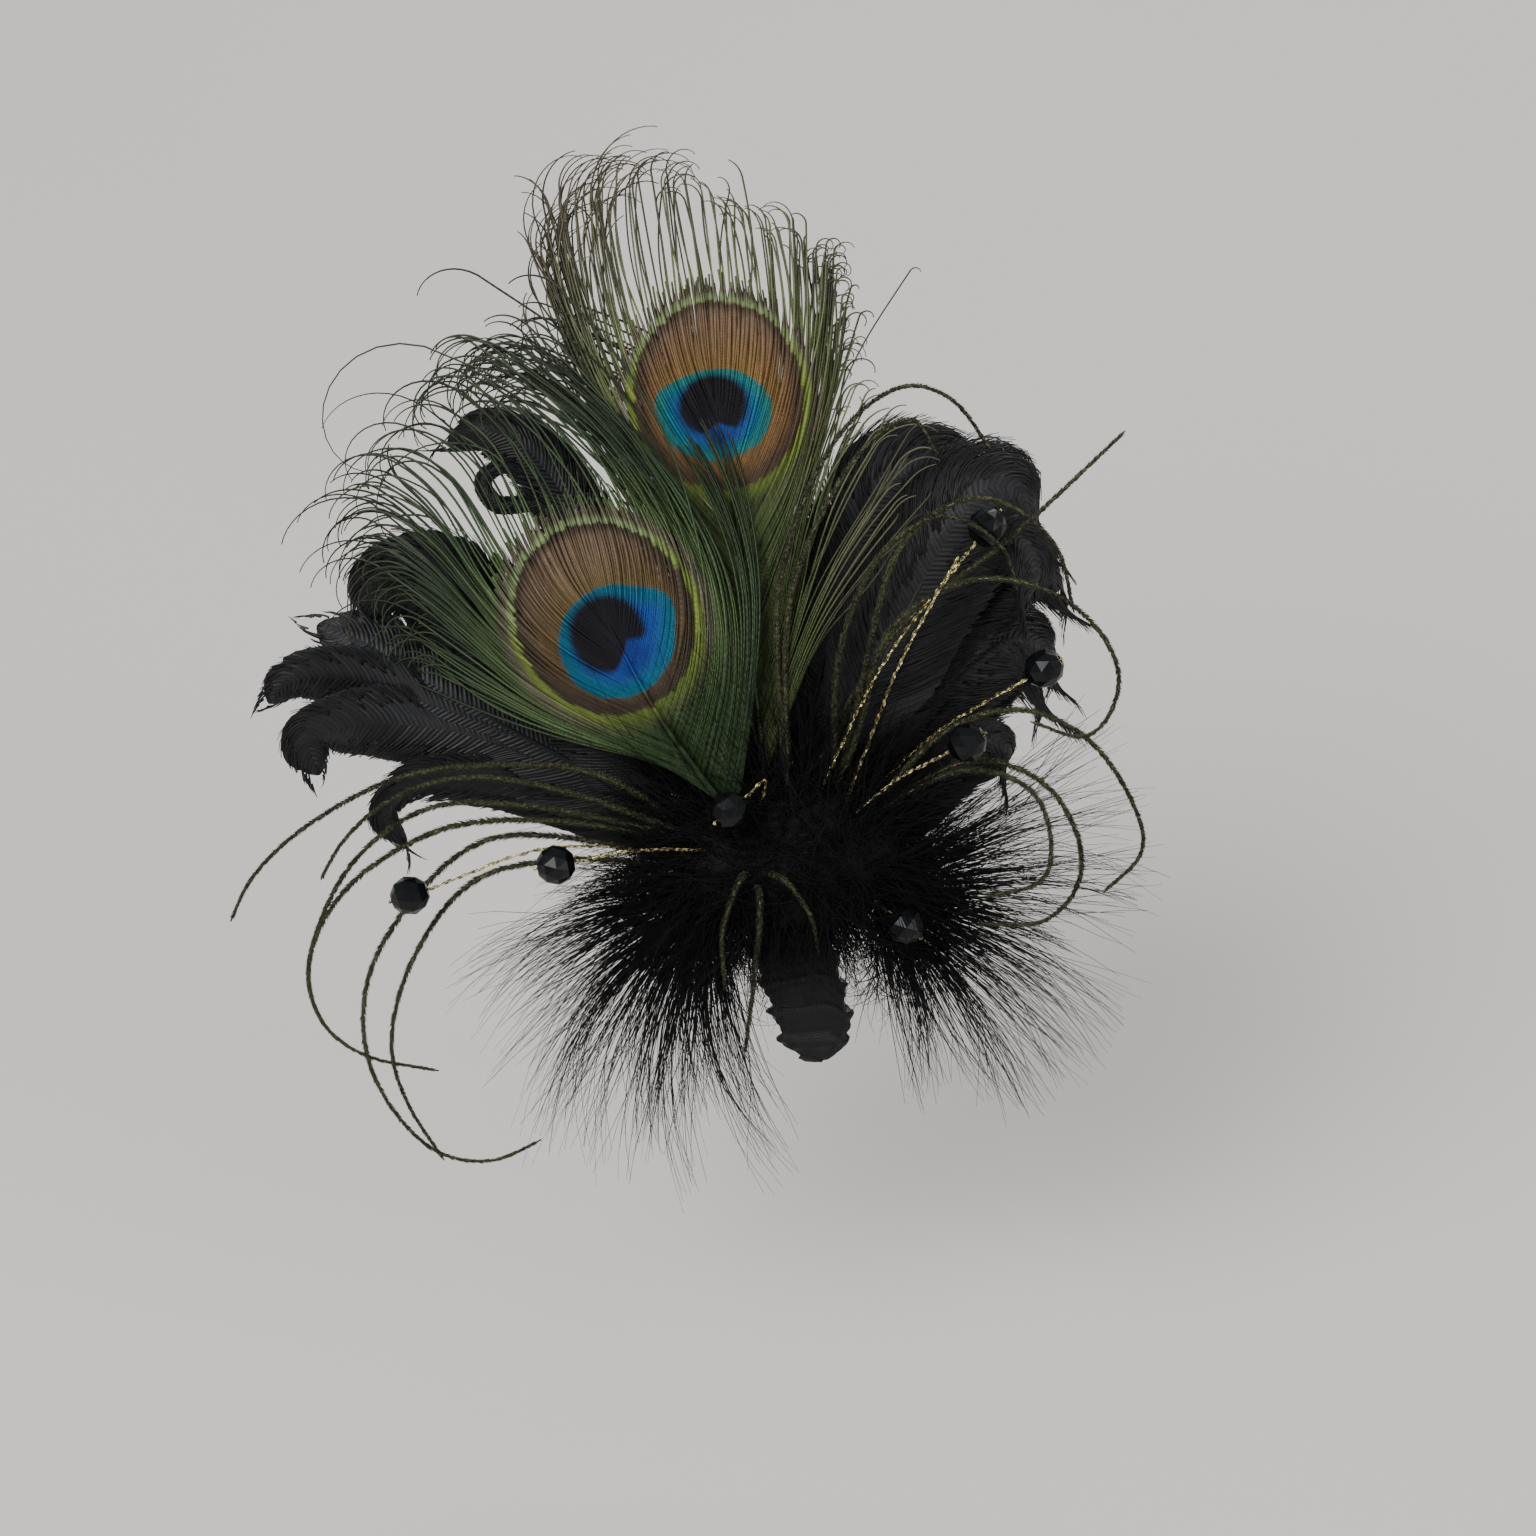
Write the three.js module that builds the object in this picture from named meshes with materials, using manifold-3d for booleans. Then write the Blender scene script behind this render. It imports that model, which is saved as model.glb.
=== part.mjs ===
// A feather fascinator worn on the side of the head. Two peacock eye feathers, ten black curled
// goose feathers, two marabou plumes, seven sprays of peacock herl and seven faceted beads on gold
// thread spring from one puff of marabou. The puff sits on a short ribbon-wrapped strip, which has a
// hair clip under it.
//
// Millimetres. Places are written in the seat's own frame: x runs across, towards the wearer's face,
// y runs up the side of the head, and z points straight out of the head. The origin is at the middle
// of the strip's underside. The whole spray is then tilted so that +Z of the part is the true vertical.

import * as THREE from "three";
import { mergeVertices } from "three/addons/utils/BufferGeometryUtils.js";
import Module from "manifold-3d";

const wasm = await Module();
wasm.setup();

// Driving dimensions
const SEAT_RISE = 35; // degrees that the seat's outward direction points above the horizon
const GAP = 0.32; // between neighbouring pieces
const HEAD_RADIUS = 95; // of the side of the head that the strip follows
const STRIP = { length: 82, below: 39, width: 16.5, endWidth: 13, round: 5.5, thickness: 3, lean: 15 };
const WRAP = { pitch: 6.2, scallop: 0.9, ridge: 0.35 };
const CLIP = { length: 53, width: 9, leaf: 0.9, mouth: 2.4, nose: 1.5, segments: 15 };
const PUFF = { at: [2, 5, 12.15], half: [25, 16, 8.75], start: 0.8 };
const PUFF_LOCKS = { count: 10, reach: 13, vary: 0.25, rise: 6.3, low: 1.4, radius: 2.6 };
const LOCK = { start: 2, widestAt: 0.55, halfTip: 0.5, thickness: 1, lift: 2.4 };
const BLADE = { bareTo: 0.12, fullAt: 0.52, blunt: 0.05, droop: 0.2, edge: 0.7, ridge: 1.6 };
const QUILL = { root: 1.1, tip: 0.45 };
const HERL = { root: 0.8, tip: 0.4 };
const THREAD = { radius: 0.42, knot: 1.15, knotAfter: 0.92, straight: 5.5 };
const BEAD = {
  diameter: 8,
  length: 7.4,
  bore: 1.7,
  boreSides: 6,
  facets: 10,
  rows: [
    { radius: 0.4, height: -1 },
    { radius: 0.82, height: -0.62 },
    { radius: 1, height: 0 },
    { radius: 0.82, height: 0.62 },
    { radius: 0.4, height: 1 },
  ],
};

const finishes = {
  ribbon: { color: 0x121216, roughness: 0.85, metalness: 0 },
  clip: { color: 0x2a2a2e, roughness: 0.4, metalness: 0.9 },
  goose: { color: 0x15151a, roughness: 0.6, metalness: 0 },
  marabou: { color: 0x101014, roughness: 0.95, metalness: 0 },
  peacock: { color: 0x4d5a28, roughness: 0.45, metalness: 0.2 },
  herl: { color: 0x3b4326, roughness: 0.5, metalness: 0.1 },
  bead: { color: 0x0b0b0d, roughness: 0.12, metalness: 0 },
  thread: { color: 0xb08a3a, roughness: 0.35, metalness: 0.9 },
};

// Peacock eye feathers. The rachis is the feather's own shaft, from the puff to above the eye. The web
// is the close part of the vane, from one share of the shaft to another. Each loose lock of barbs
// leaves the shaft at a share of its length and passes four places, across and up. bulge is how far
// the locks stand out of the head half way along, and fall is how far their ends drop back.
const EYE_FEATHERS = [
  {
    name: "eye_feather_upper",
    rachis: [
      [-1.4, 12, 14.5], [-3.6, 36, 16.5], [-5.4, 66, 18.5],
      [-9, 86, 20], [-12, 95, 20], [-17.4, 114, 18.5],
    ],
    web: { from: 0.36, to: 1, lean: 1.9, halfWidth: 20.5, cup: 1.6, edge: 0.9, ridge: 1.4 },
    locks: { halfWidth: 1.7, halfTip: 0.7, thickness: 0.8, bulge: 2.5, fall: 5, step: 0.9 },
    left: [
      { leaves: 0.4, by: [-15, 68], mid: [-33, 93], crest: [-46, 119], tip: [-44.6, 143] },
      { leaves: 0.5, by: [-23, 86], mid: [-29, 100], crest: [-38, 124], tip: [-36.4, 144.4] },
      { leaves: 0.6, by: [-19, 90], mid: [-26, 108], crest: [-34, 130], tip: [-31, 145.6] },
      { leaves: 0.7, by: [-17, 96], mid: [-23, 110], crest: [-29, 134], tip: [-25, 145.6] },
      { leaves: 0.82, by: [-16, 102], mid: [-20, 116], crest: [-24.6, 136], tip: [-20, 145] },
    ],
    right: [
      { leaves: 0.36, by: [0, 64], mid: [6.6, 82], crest: [12, 106], tip: [13.8, 122.4] },
      { leaves: 0.48, by: [3, 78], mid: [8, 92], crest: [9.4, 114], tip: [11.4, 127.4] },
      { leaves: 0.6, by: [3, 86], mid: [6.6, 100], crest: [4.6, 120], tip: [5.6, 133.4] },
      { leaves: 0.7, by: [-1, 92], mid: [1.6, 106], crest: [-2, 126], tip: [-2.6, 140] },
      { leaves: 0.84, by: [-7, 100], mid: [-6, 112], crest: [-10, 132], tip: [-13.4, 143] },
    ],
  },
  {
    name: "eye_feather_lower",
    rachis: [
      [-6, 11, 20], [-11, 16, 21.5], [-17, 24, 23.5],
      [-22, 32.4, 25.5], [-31.4, 48, 27.5], [-40.6, 70.4, 26],
    ],
    web: { from: 0.2, to: 1, lean: 1.25, halfWidth: 21.5, cup: 1.6, edge: 0.9, ridge: 1.4 },
    locks: { halfWidth: 1.7, halfTip: 0.7, thickness: 0.8, bulge: 4, fall: 7, step: 0.9 },
    left: [
      { leaves: 0.34, by: [-38, 32], mid: [-56, 37.6], crest: [-70, 49], tip: [-80.6, 55.2] },
      { leaves: 0.42, by: [-42, 41], mid: [-60, 55], crest: [-76, 70], tip: [-88, 64] },
      { leaves: 0.52, by: [-45, 50], mid: [-59, 67], crest: [-76, 83], tip: [-89.4, 69] },
      { leaves: 0.62, by: [-44, 60], mid: [-56, 76], crest: [-73, 90], tip: [-90.6, 78.4] },
      { leaves: 0.82, by: [-44, 72], mid: [-51, 88], crest: [-61, 103], tip: [-71, 97] },
    ],
    right: [
      { leaves: 0.2, by: [-5, 42], mid: [-6, 70], crest: [-18, 98], tip: [-55, 108] },
      { leaves: 0.28, by: [-9.4, 46], mid: [-12, 70], crest: [-28, 97], tip: [-65, 105.6] },
      { leaves: 0.38, by: [-14, 50], mid: [-18, 72], crest: [-35, 95], tip: [-68.6, 100] },
      { leaves: 0.5, by: [-20, 58], mid: [-25, 76], crest: [-40, 95], tip: [-69, 95] },
      { leaves: 0.68, by: [-30, 66], mid: [-35, 80], crest: [-46, 94], tip: [-64, 94] },
    ],
  },
];

// Goose feathers. Each lobe is a broad lock of the vane: the places that its middle passes, from the
// puff to the curled tip, and its half width at the widest. The first lobe carries the quill.
const GOOSE_FEATHERS = [
  {
    name: "goose_left_lobed",
    lobes: [
      { middle: [[-10, 7, 8], [-38, 22, 10], [-68, 36, 13], [-83, 48, 13], [-93, 51.5, 11]], half: 7 },
      { middle: [
        [-40, 24, 10], [-66, 35, 13], [-88, 41, 15],
        [-97, 40, 14], [-101.6, 35.4, 12],
      ], half: 6 },
      { middle: [
        [-42, 23, 10], [-66, 31, 13], [-84, 31, 16],
        [-93, 28, 15], [-90.6, 20.6, 12],
      ], half: 6.5 },
    ],
  },
  {
    name: "goose_left_low",
    lobes: [{ middle: [
      [-9, 3, 7], [-40, 15, 8], [-60, 20, 11],
      [-73, 19, 14], [-78, 13, 13], [-74, 7.4, 10],
    ], half: 5.5 }],
  },
  {
    name: "goose_left_high",
    lobes: [{ middle: [
      [-9, 11, 11], [-38, 37, 13], [-58, 55, 14],
      [-70, 61, 15], [-79, 59, 14], [-81, 52, 11],
    ], half: 10.5 }],
  },
  {
    name: "goose_crown_left",
    lobes: [
      { middle: [
        [-6, 14, 11.5], [-27, 50, 12], [-43, 78, 12],
        [-52, 88, 13], [-60, 90, 12], [-66, 87.5, 9],
      ], half: 8 },
      { middle: [
        [-36, 66, 12], [-47, 75, 12.5], [-56, 75.4, 13],
        [-58.5, 80, 13], [-54, 83, 13], [-49.5, 80, 12.5],
      ], half: 1.7 },
    ],
  },
  {
    name: "goose_crown_right",
    lobes: [{ middle: [
      [4, 15, 9], [10, 45, 10], [17, 66, 11],
      [24, 80, 12], [33, 83, 11], [40, 78, 8],
    ], half: 12 }],
  },
  {
    name: "goose_right_high",
    lobes: [
      { middle: [
        [8, 13, 10], [20, 40, 14.5], [32, 64, 17],
        [42, 77, 17.5], [48, 76, 16], [50, 70, 13],
      ], half: 11 },
      { middle: [[30, 58, 16], [40, 66, 17.5], [48, 68, 18], [52, 62, 16], [50, 55, 14]], half: 4.5 },
    ],
  },
  {
    name: "goose_right_curl",
    lobes: [{ middle: [
      [11, 10, 8.5], [22, 36, 7], [36, 55, 8.5],
      [47, 63, 10], [54, 62, 9], [57, 58, 6],
    ], half: 9.5 }],
  },
  {
    name: "goose_right_mid",
    lobes: [{ middle: [
      [12, 7, 7.5], [26, 28, 4], [38, 42, 4],
      [48, 49, 4], [54, 47, 3], [56, 43, 0],
    ], half: 8.5 }],
  },
  {
    name: "goose_right_tuft",
    lobes: [{ middle: [
      [13, 4, 6], [26, 20, 0.5], [37, 34, -0.5],
      [46, 42, -1], [52, 41, -2], [54, 37, -4],
    ], half: 7 }],
  },
  {
    name: "goose_right_low",
    lobes: [{ middle: [
      [14, 1, 9], [27, 13, 8.5], [37, 23, 9],
      [43, 28, 9], [47, 26, 8], [46, 22, 5],
    ], half: 5.5 }],
  },
];

// Marabou plumes. Locks fan out round a heel at the puff, between two bearings in degrees, where 0
// is across to the right and 90 is up. reach is how far the locks go, one value for each lock.
const MARABOU = [
  {
    name: "marabou_left",
    at: [-12, -4, 5.6], half: [7, 5.5, 2.6], from: 172, to: 284, droop: 1,
    reach: [44, 48, 51, 54, 57, 60, 62, 62, 64, 66, 62, 58],
  },
  {
    name: "marabou_right",
    at: [20, -4, 5.2], half: [8, 5.5, 2.6], from: -78, to: 34, droop: 0.8,
    reach: [50, 54, 60, 62, 64, 62, 60, 58, 59, 58, 60, 66],
  },
];

// Sprays of peacock herl. Each strand is the places that it passes, from the puff to its free tip.
const HERL_SPRAYS = [
  {
    name: "herl_right_high",
    strands: [
      [
        [12, 17, 15], [16.6, 30, 19], [23, 50, 25], [38, 59.4, 28], [53, 57.6, 31],
        [64, 49, 31], [67.8, 39, 30], [62, 28.5, 28], [50.4, 31.6, 26],
      ],
      [[12, 17, 15], [16.6, 36, 20], [26, 68, 27], [41, 75.6, 31], [54.6, 67, 31], [59, 53, 27]],
      [[12, 17, 15], [13, 46, 20], [22, 66, 27], [34, 72, 29], [45, 65.6, 28], [47.8, 57.6, 25]],
    ],
  },
  {
    name: "herl_right_low",
    strands: [
      [
        [17, 12, 13.5], [35, 30.4, 19], [49, 34, 22], [61, 29, 22],
        [70, 18, 19], [73.6, 6, 15], [66, -2.6, 11],
      ],
      [[17, 12, 13.5], [38, 22, 16], [51, 18, 19], [55, 8, 19], [53.4, 0, 17], [42, -3.4, 14]],
      [
        [17, 12, 13.5], [40, 24, 15], [54, 19, 18], [60.6, 8, 18],
        [60.6, -1, 15], [54, -8.4, 12], [41, -9, 9],
      ],
    ],
  },
  {
    name: "herl_top",
    strands: [
      [
        [2.5, 17, 16.5], [0.6, 56, 22], [6, 76, 25], [15, 91, 27],
        [26, 97.8, 29], [35, 95, 28], [42.6, 85.4, 25],
      ],
      [[2.5, 17, 16.5], [3, 56, 22], [11, 76, 25], [19, 87, 27], [27, 91.5, 28], [32, 84.4, 26]],
    ],
  },
  {
    name: "herl_spike",
    strands: [[[7, 18, 12], [22, 47, 20], [50, 71, 21.5], [69.6, 89.4, 20]]],
  },
  {
    name: "herl_left_high",
    strands: [
      [
        [-14, 8, 14], [-35, 21, 18], [-55, 23, 21], [-75, 20.4, 22],
        [-95, 9.6, 18], [-105, 0, 14], [-109.4, -8.4, 10],
      ],
      [[-14, 8, 14], [-43, 18, 19], [-61, 20.6, 21], [-75, 17, 21], [-86, 8, 17], [-91, 0, 13]],
      [
        [-14, 8, 14], [-51, 15, 18], [-69, 14.4, 20], [-83, 5, 17],
        [-92, -10, 10], [-94.4, -22, 4], [-91.4, -30.4, 0],
      ],
      [
        [-14, 8, 14], [-49, 12, 17], [-67, 10, 19], [-86, -2, 15],
        [-94, -17, 8], [-92, -29, 2], [-84, -36, -2], [-68.6, -39.4, -4],
      ],
    ],
  },
  {
    name: "herl_left_low",
    strands: [
      [
        [-15, 2, 10], [-38, 8, 13], [-58, 8, 13], [-72, -3, 9.5], [-82.6, -21, 4],
        [-82, -40, -3], [-70, -56, -8], [-58, -58.4, -10], [-48, -54, -11],
      ],
      [
        [-15, 2, 10], [-40, 4, 12], [-60, 0, 11], [-73, -16, 6],
        [-78, -34, 0], [-75, -46, -4], [-67.8, -58, -8],
      ],
    ],
  },
  {
    name: "herl_low",
    strands: [
      [[-4, 2, 16], [-7, 0, 22], [-10.4, -10, 19.5], [-10, -22, 11]],
      [[-4, 2, 16], [-3, -5, 22], [-4, -18, 16], [-6, -35, 5]],
      [[-4, 2, 16], [2, 0, 23], [7, -7, 20], [8.6, -15, 13]],
    ],
  },
];

// Beads: where each hangs, and the places that its gold thread starts from and passes by.
const BEADS = [
  { at: [-72.8, -3, 17.5], from: [-13, 4.5, 10.5], by: [-45, 6.5, 18.5] },
  { at: [-43.4, 3.2, 24.2], from: [-10, 6, 15.5], by: [-28, 6, 23.5] },
  { at: [-9, 14, 27], from: [-3, 15, 19], by: [-2, 20, 23] },
  { at: [53.4, 42.2, 22], from: [15, 14, 9.5], by: [33, 30, 15] },
  { at: [38, 27.4, 23.5], from: [12, 10, 16], by: [24, 20, 20.5] },
  { at: [26, -9, 14], from: [14, 0, 10.5], by: [20, -4, 15] },
  { at: [42, 70, 24.5], from: [8, 16, 17], by: [22, 44, 23] },
];
const THREAD_TAIL = [[14, 15.5, 17.5], [18, 26, 22], [25, 44, 30], [36, 64, 33]];

// Curves and skins
const vector = ([x, y, z]) => new THREE.Vector3(x, y, z);
const degrees = THREE.MathUtils.degToRad;
const mix = THREE.MathUtils.lerp;
const OUT_OF_HEAD = new THREE.Vector3(0, 0, 1);

// A smooth curve through the places in order.
function through(places) {
  return new THREE.CatmullRomCurve3(places.map((p) => (p.isVector3 ? p : vector(p))), false, "centripetal");
}

// A solid from a closed three.js geometry.
function solidFrom(geometry) {
  const bare = geometry.index ? geometry.toNonIndexed() : geometry.clone();
  bare.deleteAttribute("normal");
  bare.deleteAttribute("uv");
  const merged = mergeVertices(bare, 1e-4);
  return new wasm.Manifold(
    new wasm.Mesh({
      numProp: 3,
      vertProperties: merged.attributes.position.array,
      triVerts: new Uint32Array(merged.index.array),
    }),
  );
}

// Rings of corners, one after another, skinned and capped. The corners of a ring run anticlockwise
// when they are seen from the far end.
function skin(rings) {
  const sides = rings[0].length;
  const last = (rings.length - 1) * sides;
  const faces = [];
  for (let i = 0; i < last; i += sides)
    for (let j = 0; j < sides; j++) {
      const next = (j + 1) % sides;
      faces.push(i + j, i + next, i + sides + j, i + next, i + sides + next, i + sides + j);
    }
  for (let j = 1; j + 1 < sides; j++) {
    faces.push(0, j + 1, j);
    faces.push(last, last + j, last + j + 1);
  }
  const geometry = new THREE.BufferGeometry().setFromPoints(rings.flat());
  geometry.setIndex(faces);
  return solidFrom(geometry);
}

// A section carried along a curve. outline(t) gives its corners, across and up. The section starts
// with its up side towards facing and turns no more than the curve does.
function loft(curve, steps, outline, grow = 0, facing = OUT_OF_HEAD) {
  const up = facing.clone();
  const rings = [];
  for (let i = 0; i <= steps; i++) {
    const t = i / steps;
    const along = curve.getTangentAt(t);
    up.addScaledVector(along, -up.dot(along)).normalize();
    const across = new THREE.Vector3().crossVectors(up, along);
    const middle = curve.getPointAt(t);
    const past = i === 0 ? -grow : i === steps ? grow : 0;
    middle.addScaledVector(along, past);
    rings.push(
      outline(t).map(([a, b]) => middle.clone().addScaledVector(across, a).addScaledVector(up, b)),
    );
  }
  return skin(rings);
}

// Sections
function round(radius, sides, turned = 0) {
  return Array.from({ length: sides }, (_, k) => {
    const turn = (2 * Math.PI * (k + turned)) / sides;
    return [radius * Math.cos(turn), radius * Math.sin(turn)];
  });
}

const flat = (half, thickness) => [
  [half, -thickness / 2],
  [half, thickness / 2],
  [-half, thickness / 2],
  [-half, -thickness / 2],
];

// A vane with a ridge along its middle and edges that hang lower by droop.
const vane = (half, droop, edge, ridge) => [
  [half, -droop - edge / 2],
  [half, -droop + edge / 2],
  [0, ridge / 2],
  [-half, -droop + edge / 2],
  [-half, -droop - edge / 2],
  [0, -ridge / 2],
];

const tapered = (places, root, tip, sides, steps, grow) =>
  loft(through(places), steps, (t) => round(mix(root, tip, t) + grow, sides), grow);

const fused = (solids) => solids.reduce((all, one) => all.add(one));

// The strip, wrapped with ribbon: each turn of the wrap stands out as a scallop and a low ridge.
function strip(grow) {
  const radius = HEAD_RADIUS + STRIP.thickness / 2;
  const arc = [0, 0.2, 0.4, 0.6, 0.8, 1].map((share) => {
    const turn = (share * STRIP.length - STRIP.below) / HEAD_RADIUS;
    return [0, radius * Math.sin(turn), radius * Math.cos(turn) - HEAD_RADIUS];
  });
  const steps = 2 * Math.round(STRIP.length / WRAP.pitch);
  const outline = (t) => {
    const fromEnd = Math.min(t, 1 - t);
    const rounding = Math.sqrt(Math.min(1, 0.1 + (fromEnd * STRIP.length) / STRIP.round));
    const wave = Math.cos(t * steps * Math.PI);
    const width = mix(STRIP.endWidth, STRIP.width, Math.min(1, 3 * fromEnd)) * rounding;
    const half = (width + WRAP.scallop * wave) / 2 + grow;
    const top = (STRIP.thickness + WRAP.ridge * wave) / 2 + grow;
    const bottom = STRIP.thickness / 2 + grow;
    const right = [[0.8 * half, -bottom], [half, -0.4 * bottom], [half, 0.4 * top], [0.72 * half, top]];
    const left = right.map(([across, up]) => [-across, up]).reverse();
    return [...right, ...left];
  };
  return loft(through(arc), steps, outline, grow);
}

// The hair clip: one leaf that runs under the strip, turns back on itself and closes at the nose.
function clip(grow) {
  const half = CLIP.length / 2 / HEAD_RADIUS;
  const place = (share, depth) => {
    const radius = HEAD_RADIUS - GAP - CLIP.leaf / 2 - depth;
    return [0, radius * Math.sin(share * half), radius * Math.cos(share * half) - HEAD_RADIUS];
  };
  const leaf = [-1, -0.5, 0, 0.5, 0.9].map((share) => place(share, 0));
  const bend = [place(1, 0.1 * CLIP.mouth), place(1.04, 0.5 * CLIP.mouth), place(1, 0.9 * CLIP.mouth)];
  const open = (share) => mix(CLIP.nose, CLIP.mouth, (1 + share) / 1.5);
  const back = [0.5, 0, -0.5, -1].map((share) => place(share, open(share)));
  const section = flat(CLIP.width / 2 + grow, CLIP.leaf + 2 * grow);
  return loft(through([...leaf, ...bend, ...back]), CLIP.segments, () => section, grow);
}

// A ball stretched to three half sizes round a place.
function ellipsoid(at, half, across, up, grow) {
  const ball = new THREE.SphereGeometry(1, across, up);
  ball.scale(...half.map((size) => size + grow));
  ball.translate(...at);
  return solidFrom(ball);
}

// The puff: a low dome with short locks all round it, fused.
function puff(grow) {
  const [x, y, z] = PUFF.at;
  const locks = Array.from({ length: PUFF_LOCKS.count }, (_, k) => {
    const turn = (2 * Math.PI * (k + 0.5)) / PUFF_LOCKS.count;
    const reach = PUFF_LOCKS.reach * (1 + PUFF_LOCKS.vary * Math.sin(5 * turn));
    const rise = k % 2 ? PUFF_LOCKS.rise : PUFF_LOCKS.low;
    const place = (share, lift) => [
      x + Math.cos(turn) * (PUFF.half[0] * PUFF.start + reach * share),
      y + Math.sin(turn) * (PUFF.half[1] * PUFF.start + reach * share),
      z + lift,
    ];
    const places = [place(0, 0), place(0.5, rise), place(1, rise)];
    return tapered(places, PUFF_LOCKS.radius, LOCK.halfTip, 4, 2, grow);
  });
  return fused([ellipsoid(PUFF.at, PUFF.half, 12, 6, grow), ...locks]);
}

// A marabou plume: flat locks that fan out of one heel and droop round the head.
function marabou({ at, half, from, to, droop, reach }, grow) {
  const apart = degrees(to - from) / (reach.length - 1);
  const locks = reach.map((far, k) => {
    const turn = degrees(from) + k * apart;
    const lift = k % 2 ? LOCK.lift : 0;
    const place = (r) => [
      at[0] + r * Math.cos(turn),
      at[1] + r * Math.sin(turn),
      at[2] + lift * Math.sin((Math.PI * r) / far) - (droop * r * r) / (2 * HEAD_RADIUS),
    ];
    const widest = (far * LOCK.widestAt * apart) / 2;
    const width = (t) => widest * Math.min(t / LOCK.widestAt, (1 - t) / (1 - LOCK.widestAt));
    const section = (t) => flat(Math.max(LOCK.halfTip, width(t)) + grow, LOCK.thickness + 2 * grow);
    return loft(through([LOCK.start, 0.35 * far, 0.7 * far, far].map(place)), 4, section, grow);
  });
  return fused([ellipsoid(at, half, 8, 5, grow), ...locks]);
}

// A peacock eye feather: shaft, a web of close barbs that widens to the eye, and loose locks, fused.
function eyeFeather({ rachis, web, locks, left, right }, grow) {
  const shaft = through(rachis);
  const quill = loft(shaft, 7, (t) => round(mix(QUILL.root, QUILL.tip, t) + grow, 4), grow);
  const middle = through([0, 0.25, 0.5, 0.75, 1].map((t) => shaft.getPointAt(mix(web.from, web.to, t))));
  const plate = loft(middle, 6, (t) => {
    const swell = Math.max(0.1, Math.sin(Math.PI * t ** web.lean)) ** 0.75;
    return vane(web.halfWidth * swell + grow, web.cup * swell, web.edge + 2 * grow, web.ridge + 2 * grow);
  }, grow);
  const lock = ({ leaves, by, mid, crest, tip }, k) => {
    const root = shaft.getPointAt(leaves);
    const rest = [by, mid, crest, tip].map(([x, y], i) => {
      const t = (i + 1) / 4;
      const z = root.z + locks.bulge * Math.sin(Math.PI * t) - locks.fall * t * t + (k % 2) * locks.step;
      return new THREE.Vector3(x, y, z);
    });
    const width = (t) => mix(locks.halfWidth, locks.halfTip, t) + grow;
    return loft(through([root, ...rest]), 5, (t) => flat(width(t), locks.thickness + 2 * grow), grow);
  };
  return fused([quill, plate, ...left.map(lock), ...right.map(lock)]);
}

// A goose feather: one or more broad curled lobes that start as a quill in the puff, fused.
function gooseFeather({ lobes }, grow) {
  const blades = lobes.map(({ middle, half }) =>
    loft(through(middle), 8, (t) => {
      const open = THREE.MathUtils.clamp((t - BLADE.bareTo) / (BLADE.fullAt - BLADE.bareTo), 0, 1);
      const width = mix(QUILL.root, half, open) * Math.sqrt(Math.max(BLADE.blunt, 1 - t ** 5));
      return vane(width + grow, BLADE.droop * open * width, BLADE.edge + 2 * grow, BLADE.ridge + 2 * grow);
    }, grow),
  );
  return fused(blades);
}

// A herl spray: strands that part from one root, fused there.
function herlSpray({ strands }, grow) {
  const strand = (places) => tapered(places, HERL.root, HERL.tip, 4, 2 * places.length - 3, grow);
  return fused(strands.map(strand));
}

// A faceted bead, bored along its thread. Each row of corners stands half a facet round from the last.
function bead({ at, by }, grow) {
  const along = vector(at).sub(vector(by)).normalize();
  const half = BEAD.length / 2 + grow;
  const rows = BEAD.rows.map(({ radius, height }) => [(radius * BEAD.diameter) / 2 + grow, height * half]);
  const rings = rows.map(([radius, height], row) =>
    round(radius, BEAD.facets, row / 2).map(([a, b]) => new THREE.Vector3(a, b, height)),
  );
  const hole = BEAD.bore / 2 - grow;
  const bore = new THREE.CylinderGeometry(hole, hole, 3 * half, BEAD.boreSides);
  bore.rotateX(Math.PI / 2);
  const turn = new THREE.Quaternion().setFromUnitVectors(OUT_OF_HEAD, along);
  const place = new THREE.Matrix4().compose(vector(at), turn, new THREE.Vector3(1, 1, 1));
  return skin(rings).subtract(solidFrom(bore)).transform(place.elements);
}

// A bead's thread: out of the puff, straight through the bead and into a knot behind it.
function thread({ at, from, by }, grow) {
  const middle = vector(at);
  const along = middle.clone().sub(vector(by)).normalize();
  const entry = middle.clone().addScaledVector(along, -THREAD.straight);
  const end = middle.clone().addScaledVector(along, BEAD.length / 2 + GAP + THREAD.knotAfter);
  const wire = loft(through([from, by, entry, end]), 6, () => round(THREAD.radius + grow, 4), grow);
  const knot = new THREE.SphereGeometry(THREAD.knot + grow, 5, 3);
  knot.translate(end.x, end.y, end.z);
  return wire.add(solidFrom(knot));
}

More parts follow.
